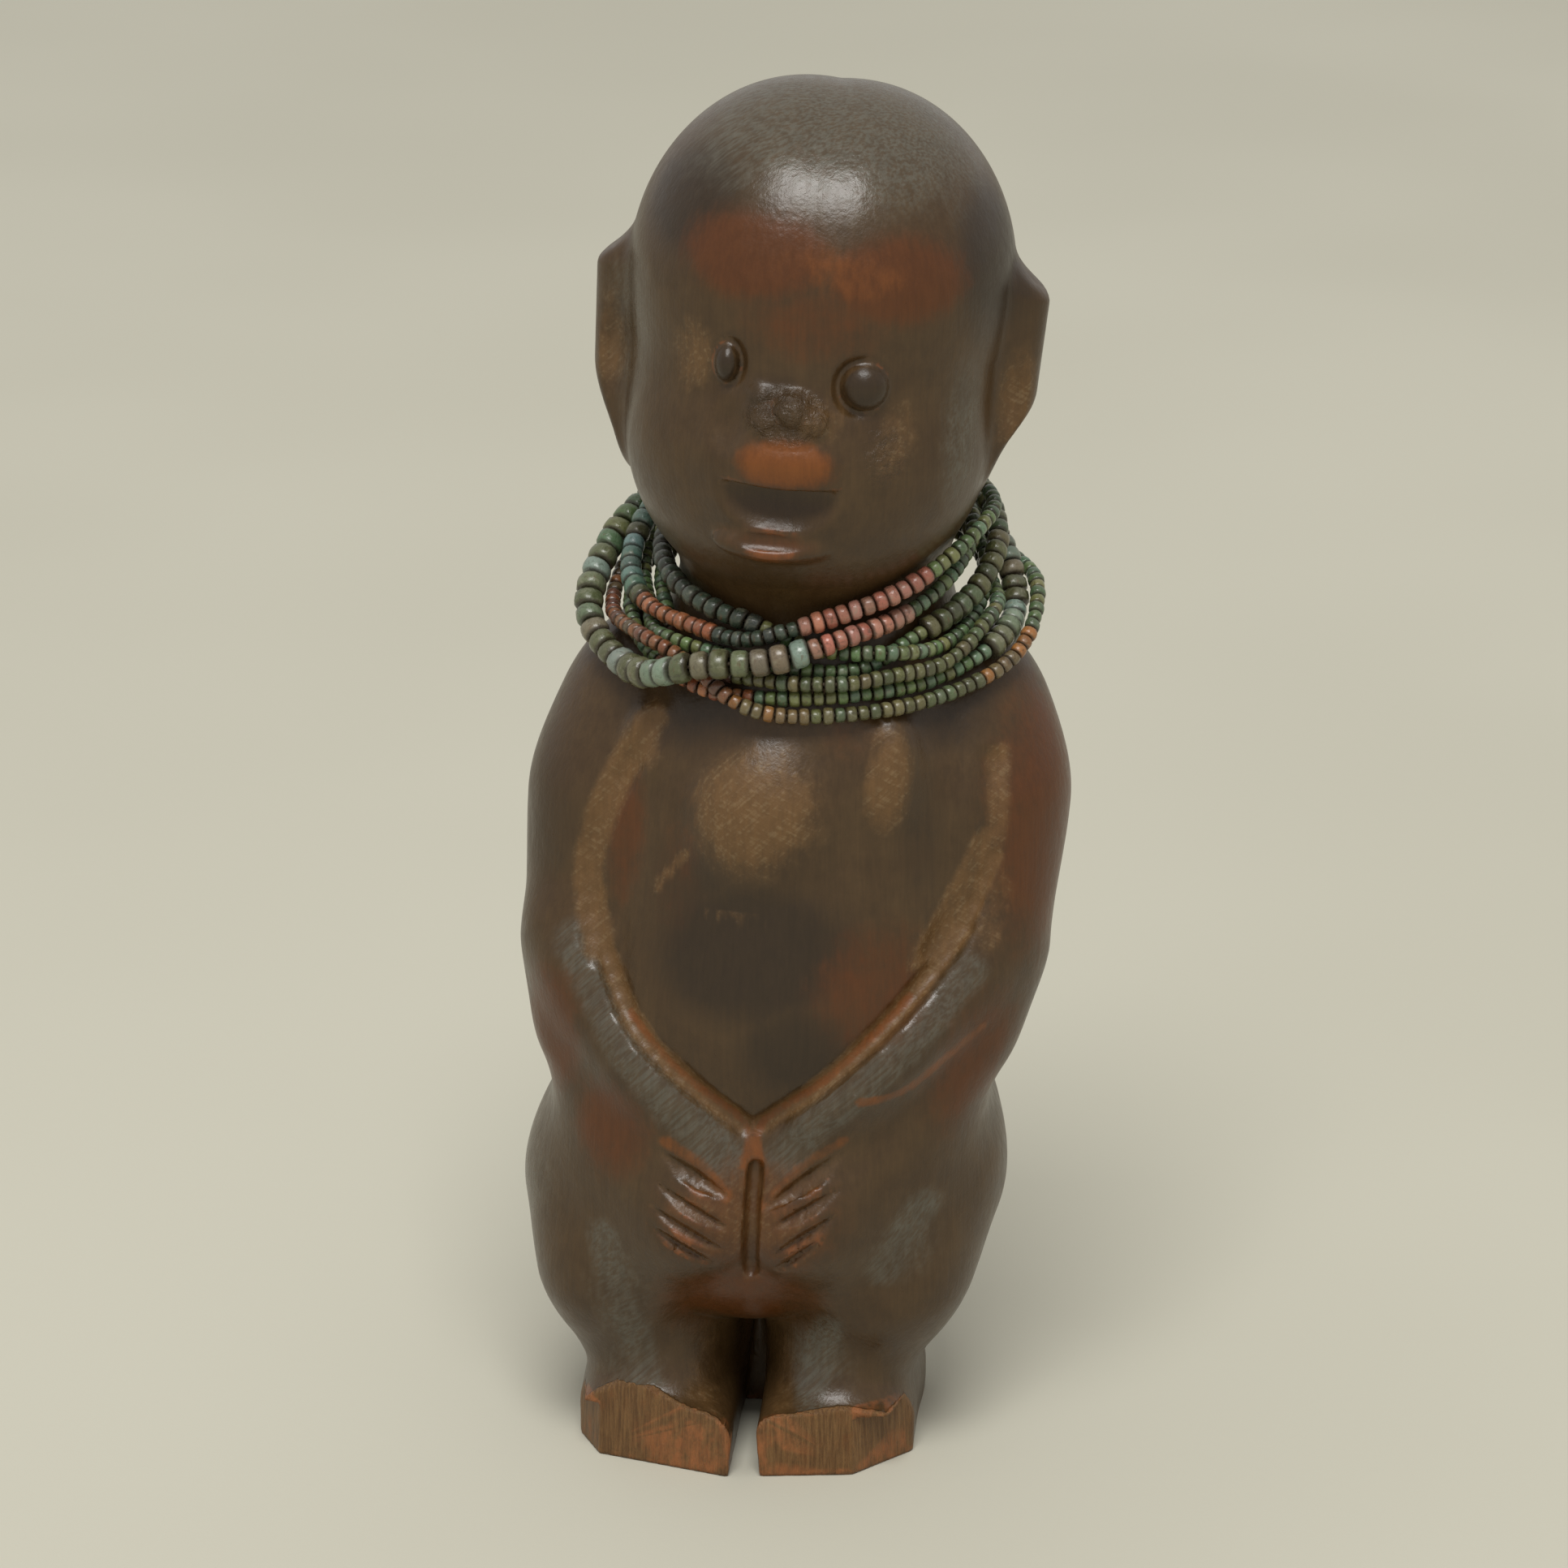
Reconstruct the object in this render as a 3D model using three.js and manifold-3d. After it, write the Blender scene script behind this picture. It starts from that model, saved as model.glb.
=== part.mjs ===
// Carved wooden figure with bent legs and a necklace of glass beads.
// Millimetres, +Z up. The figure faces -Y and stands on the flat soles of its feet. Right and left
// in the names are those of the front view, so right is +X.
import * as THREE from 'three';
import { mergeVertices } from 'three/addons/utils/BufferGeometryUtils.js';
import { SimplifyModifier } from 'three/addons/modifiers/SimplifyModifier.js';
import Module from 'manifold-3d';

const DEGREE = Math.PI / 180;

// Driving sizes. Every other size and place is drawn for a figure DRAWN_HEIGHT tall, and the whole
// part is scaled to HEIGHT at the end.
const HEIGHT = 200;
const DRAWN_HEIGHT = 200;

// The block leans: its midline runs from the feet over to the chest.
const MIDLINE_AT_FEET = -5.8;
const MIDLINE_AT_CHEST = 1.8;
const MIDLINE_STRAIGHT_FROM = 125;
const HEAD_CENTRE = [3.1, -1, 162.6];
const HEAD_ROLL = 4 * DEGREE;
const HEAD_YAW = -1.5 * DEGREE;

// Widths over which the rounded masses run into each other, widest first.
const TRUNK_BLEND = 8;
const ELBOW_BLEND = 7;
const HIP_BLEND = 6;
const FOOT_BLEND = 4;
const NECK_BLEND = 4;
const RELIEF_BLEND = 3;
const BODY_BLEND = 2;
const LEG_GAP_BLEND = 1.5;
const FACE_BLEND = 1;
const CREASE_BLEND = 0.8;

// Cuts in the wood.
const ARM_CREASE = 1.2;
const HAND_PARTING = 1.1;
const GROOVE_RUNS = 14;
const GROOVE_BLEND = 0.5;
const LEG_GAP_CENTRE = 0.8;
const LEG_GAP_HALF = 1.9;
const LEG_GAP_TOP = 17;
const FINGER_CUT_DEPTH = 1.4;
const FOOT_FACE_TURN = 25 * DEGREE;
const FOOT_FACE_FRONT = -26.6;
const FOOT_FACE_TOP = 12.5;

// The grid that the figure's skin is taken from, and how finely it is faceted.
const CARVING_STEP = 1.1;
const GRID_LOW = [-44, -38, -12];
const GRID_HIGH = [46, 36, DRAWN_HEIGHT + 4];
const FIGURE_TRIANGLES = 5300;
const BLOCK = 200;

// The necklace: bead radii, the play between neighbours, and how the strands settle.
const NECK_AXIS = [1.9, 2];
const BIG = 2.1;
const STOUT = 1.9;
const MEDIUM = 1.7;
const DARK = 1.5;
const PINK = 1.45;
const CORAL = 1.3;
const SMALL = 1.15;
const STRAND_GAP = 0.4;
const STRAND_POINTS = 104;
const SETTLING_ROUNDS = 160;
const FREE_ROUNDS = 30;
const RESPACED_EVERY = 10;
const TENSION = 0.15;
const TUBE_SIDES = 5;
const PLAIN_RINGS = 52;
const BETWEEN_BEADS = 0.72;

// Shape functions: each one gives the distance of a point from a solid, below zero inside it.
const ellipsoid = ([cx, cy, cz], [rx, ry, rz]) => (x, y, z) => {
  const ax = (x - cx) / rx;
  const ay = (y - cy) / ry;
  const az = (z - cz) / rz;
  const near = Math.hypot(ax, ay, az);
  const slope = Math.hypot(ax / rx, ay / ry, az / rz);
  return slope > 1e-9 ? near * (near - 1) / slope : -Math.min(rx, ry, rz);
};

const limb = ([ax, ay, az], startRadius, [bx, by, bz], endRadius) => {
  const dx = bx - ax;
  const dy = by - ay;
  const dz = bz - az;
  const square = dx * dx + dy * dy + dz * dz;
  return (x, y, z) => {
    const along = ((x - ax) * dx + (y - ay) * dy + (z - az) * dz) / square;
    const t = Math.min(1, Math.max(0, along));
    const radius = startRadius + (endRadius - startRadius) * t;
    return Math.hypot(x - ax - dx * t, y - ay - dy * t, z - az - dz * t) - radius;
  };
};

const slab = ([cx, cy, cz], [hx, hy, hz], round) => (x, y, z) => {
  const dx = Math.abs(x - cx) - hx + round;
  const dy = Math.abs(y - cy) - hy + round;
  const dz = Math.abs(z - cz) - hz + round;
  const outside = Math.hypot(Math.max(dx, 0), Math.max(dy, 0), Math.max(dz, 0));
  return outside + Math.min(Math.max(dx, dy, dz), 0) - round;
};

const softMin = (a, b, soft) => {
  const h = Math.max(soft - Math.abs(a - b), 0) / soft;
  return Math.min(a, b) - h * h * soft / 4;
};

const join = (soft, ...solids) => (x, y, z) => {
  let nearest = solids[0](x, y, z);
  for (let n = 1; n < solids.length; n += 1) {
    nearest = softMin(nearest, solids[n](x, y, z), soft);
  }
  return nearest;
};

const carve = (soft, solid, ...tools) => (x, y, z) => {
  const cut = Math.min(...tools.map((tool) => tool(x, y, z)));
  return -softMin(-solid(x, y, z), cut, soft);
};

const bothSides = (solid) => (x, y, z) => solid(Math.abs(x), y, z);

const placed = ([cx, cy, cz], roll, yaw, solid) => {
  const turn = new THREE.Matrix4().makeRotationFromEuler(new THREE.Euler(0, roll, yaw, 'ZYX'));
  const e = turn.elements;
  return (x, y, z) => {
    const px = x - cx;
    const py = y - cy;
    const pz = z - cz;
    return solid(
      e[0] * px + e[1] * py + e[2] * pz,
      e[4] * px + e[5] * py + e[6] * pz,
      e[8] * px + e[9] * py + e[10] * pz,
    );
  };
};

// Body in its own upright frame, with x = 0 on its midline.
function torso() {
  const chest = ellipsoid([0, 1, 97], [31.5, 25.5, 31]);
  const belly = ellipsoid([0, -1.5, 71], [31, 26.5, 34]);
  const pelvis = ellipsoid([0, -3.5, 36], [22, 22.5, 18]);
  const neck = limb([0.5, 2, 108], 22, [1.5, 2, 140], 18);
  const breastbone = ellipsoid([-1.5, -20, 98], [10, 6, 11]);
  const breastRight = ellipsoid([13, -18.3, 107], [4, 3.2, 8]);
  const breastLeft = ellipsoid([-20.5, -14, 108.5], [4, 3.2, 6]);
  const trunk = join(TRUNK_BLEND, chest, belly, pelvis, neck);
  return join(RELIEF_BLEND, trunk, breastbone, breastRight, breastLeft);
}

function arms() {
  const shoulder = ellipsoid([19.5, 1, 99], [17.8, 17.5, 26]);
  const upper = limb([25.3, -3, 97], 11.9, [26.4, -6, 77], 11.6);
  const forearm = limb([24.3, -8, 65], 10.6, [8, -19.5, 41.5], 10);
  const hand = ellipsoid([6, -20.5, 39], [11, 9, 11]);
  const arm = join(ELBOW_BLEND, shoulder, upper, forearm);
  return bothSides(join(RELIEF_BLEND, arm, hand));
}

function legs() {
  const hip = ellipsoid([19.8, 3, 41.5], [14.2, 23, 19]);
  const thigh = limb([20.8, -2, 38], 13.3, [18, -8, 28], 13.2);
  const shin = limb([16, -7, 28], 14, [13.3, -3.5, 11], 10.8);
  const instep = limb([13, -6, 9], 9, [12.8, -17, 2], 8.6);
  const foot = slab([12.8, -10, 2], [11.6, 22, 8.6], 5);
  const heel = ellipsoid([13, 6, 3], [10.5, 14, 12]);
  const leg = join(HIP_BLEND, hip, thigh, shin);
  return bothSides(join(FOOT_BLEND, leg, instep, foot, heel));
}

// Head in its own frame: upright, facing -Y, with its centre at the origin.
function head() {
  const skull = bothSides(ellipsoid([3.5, 2, 11.6], [22.8, 26.6, 26]));
  const jaw = ellipsoid([0, -2, -10.6], [25, 24, 24]);
  const cheeks = limb([0, 2, 10.5], 25.9, [0, -2, -10.6], 24.4);
  const muzzle = ellipsoid([-1.5, -20, -9], [11, 8, 11]);
  return join(RELIEF_BLEND, skull, jaw, cheeks, muzzle);
}

function faceCuts() {
  const socketRight = ellipsoid([9.3, -24.6, 2.4], [4.8, 2.6, 4.8]);
  const socketLeft = ellipsoid([-10.6, -24.2, 2.8], [3.2, 2.6, 4.6]);
  const mouth = ellipsoid([-2.6, -28, -13.8], [9, 3.6, 3.2]);
  const hollowRight = ellipsoid([26.8, -1.5, -5.5], [1.5, 4, 8.5]);
  const hollowLeft = ellipsoid([-27.4, -1.5, -1], [1.5, 4, 8]);
  return [socketRight, socketLeft, mouth, hollowRight, hollowLeft];
}

function faceReliefs() {
  const eyeRight = ellipsoid([9.3, -22.6, 2.4], [3.6, 3, 3.6]);
  const eyeLeft = ellipsoid([-10.6, -22, 2.8], [2.4, 3, 3.4]);
  const nose = ellipsoid([-1.2, -25, -1.6], [4.2, 3.4, 3.6]);
  const lip = ellipsoid([-3.4, -23.4, -21.5], [7.5, 2.4, 2]);
  return [eyeRight, eyeLeft, nose, lip];
}

function ears() {
  const leafRight = ellipsoid([0, 0, 0], [3.2, 8, 15.5]);
  const leafLeft = ellipsoid([0, 0, 0], [3.2, 8, 17]);
  return [
    placed([26.4, 4, -4.5], 11 * DEGREE, 20 * DEGREE, leafRight),
    placed([-26.8, 4, -3], -7 * DEGREE, -20 * DEGREE, leafLeft),
  ];
}

function midline(z) {
  const t = Math.min(1, Math.max(0, z / MIDLINE_STRAIGHT_FROM));
  return MIDLINE_AT_FEET + (MIDLINE_AT_CHEST - MIDLINE_AT_FEET) * t * t * (3 - 2 * t);
}

// Where the front surface lies behind a point of the front view, found by walking inward.
function frontOf(solid, x, z) {
  const leastStep = 0.05;
  const shareOfDistance = 0.8;
  let y = -BLOCK / 2;
  let distance = solid(x, y, z);
  while (y < 0 && distance > 0) {
    y += Math.max(leastStep, distance * shareOfDistance);
    distance = solid(x, y, z);
  }
  return y;
}

// A groove of round section along a line drawn on the front view.
function groove(solid, radius, line) {
  const set = new THREE.CatmullRomCurve3(line.map(([x, z]) => new THREE.Vector3(x, 0, z)))
    .getSpacedPoints(GROOVE_RUNS)
    .map(({ x, z }) => [x, frontOf(solid, x, z), z]);
  const runs = set.slice(1).map((end, n) => limb(set[n], radius, end, radius));
  return join(GROOVE_BLEND, ...runs);
}

function figure() {
  const plain = join(BODY_BLEND, torso(), arms(), legs());
  const body = carve(
    CREASE_BLEND,
    plain,
    groove(plain, ARM_CREASE, [[-22.5, 111], [-26.7, 96], [-26.8, 82], [-8.2, 63], [0, 54]]),
    groove(plain, ARM_CREASE, [[27.4, 101], [26.8, 93], [25, 84], [2.3, 61], [0, 54]]),
    groove(plain, HAND_PARTING, [[0, 54], [0.3, 44], [0.6, 34]]),
  );
  const legGap = (x, y, z) => (
    Math.max(Math.abs(x - LEG_GAP_CENTRE) - LEG_GAP_HALF, z - LEG_GAP_TOP)
  );
  const legged = carve(LEG_GAP_BLEND, body, legGap);
  const eared = join(RELIEF_BLEND, head(), ...ears());
  const face = join(FACE_BLEND, carve(FACE_BLEND, eared, ...faceCuts()), ...faceReliefs());
  const skull = placed(HEAD_CENTRE, HEAD_ROLL, HEAD_YAW, face);
  return (x, y, z) => softMin(legged(x - midline(z), y, z), skull(x, y, z), NECK_BLEND);
}

// Skin of a shape function: each cell of a grid is parted into six tetrahedra round its long
// diagonal, and each tetrahedron that the surface crosses gives one or two triangles.
const PATHS = [
  [1, 2, 4, false], [2, 4, 1, false], [4, 1, 2, false],
  [2, 1, 4, true], [1, 4, 2, true], [4, 2, 1, true],
];

const CLEAR_OF_CORNERS = 0.05;

function skin(shape, low, high, step) {
  const [nx, ny, nz] = low.map((value, axis) => Math.ceil((high[axis] - value) / step) + 1);
  const at = (i, j, k) => i + nx * (j + ny * k);
  const field = new Float64Array(nx * ny * nz);
  for (let k = 0; k < nz; k += 1) {
    for (let j = 0; j < ny; j += 1) {
      for (let i = 0; i < nx; i += 1) {
        field[at(i, j, k)] = shape(low[0] + i * step, low[1] + j * step, low[2] + k * step);
      }
    }
  }
  const offset = [0, 1, 2, 3, 4, 5, 6, 7].map((c) => at(c & 1, (c >> 1) & 1, c >> 2));
  const points = [];
  const known = new Map();
  const cross = (cell, a, b) => {
    const [from, to] = a < b ? [a, b] : [b, a];
    const start = cell + offset[from];
    const key = start * 8 + (to - from);
    if (known.has(key)) {
      return known.get(key);
    }
    const end = cell + offset[to];
    const share = field[start] / (field[start] - field[end]);
    const t = Math.min(1 - CLEAR_OF_CORNERS, Math.max(CLEAR_OF_CORNERS, share));
    const first = [start % nx, Math.floor(start / nx) % ny, Math.floor(start / (nx * ny))];
    const way = to - from;
    const bits = [way & 1, (way >> 1) & 1, way >> 2];
    points.push(...first.map((n, axis) => low[axis] + (n + bits[axis] * t) * step));
    known.set(key, points.length / 3 - 1);
    return points.length / 3 - 1;
  };
  const faces = [];
  for (let cell = 0; cell < field.length - offset[7]; cell += 1) {
    const inside = offset.map((shift) => field[cell + shift] < 0);
    if (inside.every((value) => value === inside[0])) {
      continue;
    }
    for (const [first, second, , mirrored] of PATHS) {
      let order = [0, first, first | second, 7];
      let flip = mirrored;
      for (let a = 0; a < 3; a += 1) {
        for (let b = 0; b < 3 - a; b += 1) {
          if (!inside[order[b]] && inside[order[b + 1]]) {
            [order[b], order[b + 1]] = [order[b + 1], order[b]];
            flip = !flip;
          }
        }
      }
      const [a, b, c, d] = order;
      const count = order.filter((corner) => inside[corner]).length;
      const loop = {
        1: () => [cross(cell, a, b), cross(cell, a, c), cross(cell, a, d)],
        2: () => [cross(cell, a, c), cross(cell, a, d), cross(cell, b, d), cross(cell, b, c)],
        3: () => [cross(cell, a, d), cross(cell, b, d), cross(cell, c, d)],
      }[count]?.() ?? [];
      if (flip) {
        loop.reverse();
      }
      for (let n = 2; n < loop.length; n += 1) {
        faces.push(loop[0], loop[n - 1], loop[n]);
      }
    }
  }
  const geometry = new THREE.BufferGeometry();
  geometry.setAttribute('position', new THREE.Float32BufferAttribute(points, 3));
  geometry.setIndex(faces);
  return geometry;
}

// Moves each point of a skin along the slope of its shape function until it lies on the surface.
function settle(geometry, shape) {
  const position = geometry.getAttribute('position');
  const reach = 0.05;
  const leastSquare = 0.25;
  const shareOfWay = 0.9;
  for (let n = 0; n < position.count; n += 1) {
    const [x, y, z] = [position.getX(n), position.getY(n), position.getZ(n)];
    const value = shape(x, y, z);
    const slope = [
      shape(x + reach, y, z) - shape(x - reach, y, z),
      shape(x, y + reach, z) - shape(x, y - reach, z),
      shape(x, y, z + reach) - shape(x, y, z - reach),
    ].map((difference) => difference / (2 * reach));
    const square = Math.max(leastSquare, slope[0] ** 2 + slope[1] ** 2 + slope[2] ** 2);
    const move = -shareOfWay * value / square;
    position.setXYZ(n, x + slope[0] * move, y + slope[1] * move, z + slope[2] * move);
  }
  return geometry;
}

const shape = figure();
const fine = settle(skin(shape, GRID_LOW, GRID_HIGH, CARVING_STEP), shape);
const fineTriangles = fine.getIndex().count / 3;
const coarse = await new SimplifyModifier().modify(
  fine,
  Math.round(fine.getAttribute('position').count * (1 - FIGURE_TRIANGLES / fineTriangles)),
);

const wasm = await Module();
wasm.setup();

function toSolid(geometry) {
  const plain = new THREE.BufferGeometry();
  plain.setAttribute('position', geometry.getAttribute('position'));
  plain.setIndex(geometry.getIndex());
  const merged = mergeVertices(plain, 1e-4);
  return new wasm.Manifold(new wasm.Mesh({
    numProp: 3,
    vertProperties: new Float32Array(merged.getAttribute('position').array),
    triVerts: new Uint32Array(merged.getIndex().array),
  }));
}

function toGeometry(solid) {
  const mesh = solid.getMesh();
  const geometry = new THREE.BufferGeometry();
  geometry.setAttribute('position', new THREE.BufferAttribute(mesh.vertProperties, 3));
  geometry.setIndex(new THREE.BufferAttribute(mesh.triVerts, 1));
  geometry.computeVertexNormals();
  return geometry;
}

// Everything in front of the sloping front face of one foot, up to where the instep begins.
function footFace(side) {
  const block = new THREE.BoxGeometry(BLOCK, BLOCK, 2 * FOOT_FACE_TOP);
  block.translate(0, -BLOCK / 2, 0);
  block.rotateZ(side * FOOT_FACE_TURN);
  block.translate(MIDLINE_AT_FEET + side * LEG_GAP_CENTRE, FOOT_FACE_FRONT, 0);
  return toSolid(block);
}

// Chisel cuts that part the fingers: long thin leaves from point to point of the front view,
// [x, z] from the midline, thumb first.
const FINGER_CUTS = [
  [[-13.6, 51.2], [-3.9, 48.6], 2.4],
  [[-14.7, 47.4], [-1.2, 41.2], 2],
  [[-15.3, 44], [-2.3, 37.4], 2],
  [[-13.9, 41], [-4.5, 35.8], 1.8],
  [[11.8, 52], [1.9, 44.2], 3],
  [[12.8, 47.4], [3, 42.2], 2],
  [[12.3, 43.6], [4, 37], 2],
  [[10.2, 40.2], [4.4, 34], 1.8],
];
const RUN_OUT = 1;
const HAND_SLOPE = 0.25;
const HAND_TILT = 0.1;

function fingerCut([[x1, z1], [x2, z2], width]) {
  const onSurface = (x, z) => {
    const across = x + midline(z);
    return new THREE.Vector3(across, frontOf(shape, across, z), z);
  };
  const start = onSurface(x1, z1);
  const end = onSurface(x2, z2);
  const leaf = new THREE.OctahedronGeometry(1);
  leaf.deleteAttribute('normal');
  leaf.deleteAttribute('uv');
  leaf.scale(start.distanceTo(end) / 2 + RUN_OUT, width / 2, FINGER_CUT_DEPTH);
  const along = end.clone().sub(start).normalize();
  const outward = new THREE.Vector3(HAND_SLOPE * Math.sign(x1), -1, HAND_TILT);
  const across = new THREE.Vector3().crossVectors(outward, along).normalize();
  outward.crossVectors(along, across);
  const turn = new THREE.Matrix4().makeBasis(along, across, outward);
  leaf.applyMatrix4(turn.setPosition(start.lerp(end, 0.5)));
  return toSolid(leaf);
}

const ground = new THREE.BoxGeometry(BLOCK, BLOCK, BLOCK);
ground.translate(0, 0, -BLOCK / 2);
const tools = [toSolid(ground), footFace(1), footFace(-1), ...FINGER_CUTS.map(fingerCut)];
const solid = tools.reduce((left, tool) => left.subtract(tool), toSolid(coarse));

// Bead strands: closed loops round the neck, each through points of [degrees from the front,
// distance from the neck's axis, height]. Radii are [degrees where they start, bead radius].
const STRANDS = {
  strand_blue_green: {
    color: 0x5f6a52,
    beads: 50,
    radii: [[-180, BIG], [0, PINK], [46, SMALL], [150, BIG]],
    route: [
      [-180, 23.5, 137], [-140, 25, 138], [-115, 28.5, 134.5], [-91, 29.8, 128.5], [-80, 29.5, 123],
      [-63, 28.6, 120], [-49, 26.2, 119.4], [-37, 25, 120.5], [-19, 24.2, 122.5], [-1, 24, 123.6],
      [22, 23.2, 126], [44, 23, 128.6], [60, 23.2, 131], [85, 24.5, 136], [125, 25, 138.5],
    ],
  },
  strand_turquoise_coral: {
    color: 0x6a5a48,
    radii: [[-180, MEDIUM], [-82, CORAL], [-30, SMALL], [-2, PINK], [46, SMALL], [150, MEDIUM]],
    route: [
      [-180, 21, 140.5], [-130, 24, 139.5], [-98, 26.7, 132], [-88, 26, 127.5], [-76, 25.2, 125.3],
      [-61, 23.6, 125.3], [-47, 23, 125.2], [-35, 22.8, 124.8], [-25, 22.9, 125.3], [-3, 22.6, 127],
      [23, 23, 130.5], [44, 24.2, 133.6], [61, 26.4, 138], [80, 27.2, 141], [125, 24, 142],
    ],
  },
  strand_dark_green: {
    color: 0x3f4a38,
    radii: [[-180, DARK], [-15, SMALL], [150, DARK]],
    route: [
      [-180, 23, 134], [-140, 23.5, 136], [-110, 22.5, 135.5], [-67, 21.6, 131.5], [-51, 21.6, 131.2],
      [-42, 21.6, 130], [-34, 21.7, 128.8], [-21, 22, 127.8], [0, 21.3, 125.5], [12, 22.2, 123.8],
      [24, 23.3, 122.6], [35, 23.3, 122.9], [48, 23.6, 123.3], [62, 24.8, 123.6], [78, 27, 125],
      [100, 27, 131], [140, 24, 134.5],
    ],
  },
  strand_red_brown: {
    color: 0x6b4a33,
    radii: [[-180, SMALL]],
    route: [
      [-180, 25.5, 133], [-140, 27, 134], [-110, 28.5, 130], [-85, 27.5, 124.5], [-65, 25, 123.3],
      [-48, 23.6, 122.2], [-40, 23.8, 120.6], [-31, 24.4, 118.8], [-13, 24.6, 118.2], [2, 24.9, 117.6],
      [14, 25.2, 117.2], [27, 25.3, 117.5], [41, 25.6, 118], [55, 27.1, 118.3], [65, 28.7, 119.6],
      [76, 29.6, 122], [95, 30.5, 127], [120, 29, 131.5], [150, 26.5, 133.5],
    ],
  },
  strand_olive: {
    color: 0x565a38,
    radii: [[-180, SMALL]],
    route: [
      [-180, 20.5, 135], [-130, 21.5, 134], [-95, 23, 128], [-70, 22.5, 123.5], [-48, 22.6, 120.8],
      [-33, 23.4, 119.6], [-21, 24, 119.6], [-5, 23.8, 120], [6, 24, 120], [19, 24, 120.4],
      [33, 24.4, 120.5], [46, 24.7, 120.6], [58, 26.1, 120.9], [68, 27.6, 121.8], [82, 28.6, 124.5],
      [105, 28, 130], [140, 24.5, 133.5],
    ],
  },
  strand_grey_green: {
    color: 0x5c6050,
    radii: [[-180, SMALL], [50, MEDIUM], [140, SMALL]],
    route: [
      [-180, 26.5, 139], [-135, 26.5, 136.5], [-105, 26, 130.5], [-80, 24, 124.5], [-60, 22.6, 121.5],
      [-40, 22.3, 122], [-15, 22, 121.5], [10, 22.2, 121.5], [35, 22.4, 122.8], [58, 23.6, 124.4],
      [67, 24.2, 125.7], [78, 25.8, 128], [88, 27.5, 132], [98, 28.4, 136], [125, 27.5, 138.5],
    ],
  },
  strand_outer_right: {
    color: 0x5f6350,
    beads: 50,
    radii: [[-180, SMALL], [68, STOUT], [150, SMALL]],
    route: [
      [-180, 24.5, 131], [-145, 26, 131], [-120, 26.5, 130], [-90, 26, 124.5], [-68, 24.6, 121],
      [-50, 23.2, 119.8], [-25, 22.6, 118.6], [0, 22.6, 118], [25, 23, 118.2], [48, 24.6, 119],
      [64, 27.4, 120.3], [76, 29, 121.4], [88, 30, 122.8], [96, 30.8, 126.5], [102, 30.4, 131],
      [115, 29.5, 133.5], [145, 27, 133],
    ],
  },
};

function beadRadius(radii, degrees) {
  let radius = radii[0][1];
  for (const [from, value] of radii) {
    if (degrees >= from) {
      radius = value;
    }
  }
  return radius;
}

function laidOut({ route, radii }) {
  const corners = route.map(([degrees, out, z]) => {
    const angle = degrees * DEGREE;
    return new THREE.Vector3(
      NECK_AXIS[0] + out * Math.sin(angle),
      NECK_AXIS[1] - out * Math.cos(angle),
      z,
    );
  });
  return spacedOut(corners, radii);
}

// The same loop through evenly spaced points, each with the radius of the bead there.
function spacedOut(corners, radii) {
  const points = new THREE.CatmullRomCurve3(corners, true).getSpacedPoints(STRAND_POINTS);
  points.pop();
  return points.map((point) => {
    const degrees = Math.atan2(point.x - NECK_AXIS[0], NECK_AXIS[1] - point.y) / DEGREE;
    return { point, radius: beadRadius(radii, degrees) };
  });
}

// Lets the strands push each other and the wood apart until nothing overlaps.
function settleStrands(loops) {
  const slope = new THREE.Vector3();
  const away = new THREE.Vector3();
  const reach = 0.1;
  for (let round = 0; round < SETTLING_ROUNDS; round += 1) {
    const tension = round < SETTLING_ROUNDS - FREE_ROUNDS ? TENSION : 0;
    if (tension && (round + 1) % RESPACED_EVERY === 0) {
      loops.forEach((loop, n) => {
        loops[n] = spacedOut(loop.map(({ point }) => point), STRANDS[names[n]].radii);
      });
    }
    for (const loop of loops) {
      const middles = loop.map((bead, n) => {
        const before = loop[(n + loop.length - 1) % loop.length].point;
        const after = loop[(n + 1) % loop.length].point;
        return before.clone().add(after).multiplyScalar(0.5);
      });
      loop.forEach((bead, n) => bead.point.lerp(middles[n], tension));
    }
    loops.forEach((loop, a) => {
      for (const other of loops.slice(a + 1)) {
        for (const one of loop) {
          for (const two of other) {
            away.subVectors(one.point, two.point);
            const short = one.radius + two.radius + STRAND_GAP - away.length();
            if (short > 0) {
              away.setLength(short / 2);
              one.point.add(away);
              two.point.sub(away);
            }
          }
        }
      }
    });
    for (const { point, radius } of loops.flat()) {
      const { x, y, z } = point;
      const short = radius + STRAND_GAP - shape(x, y, z);
      if (short > 0) {
        slope.set(
          shape(x + reach, y, z) - shape(x - reach, y, z),
          shape(x, y + reach, z) - shape(x, y - reach, z),
          shape(x, y, z + reach) - shape(x, y, z - reach),
        );
        point.addScaledVector(slope.normalize(), short);
      }
    }
  }
}

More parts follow.
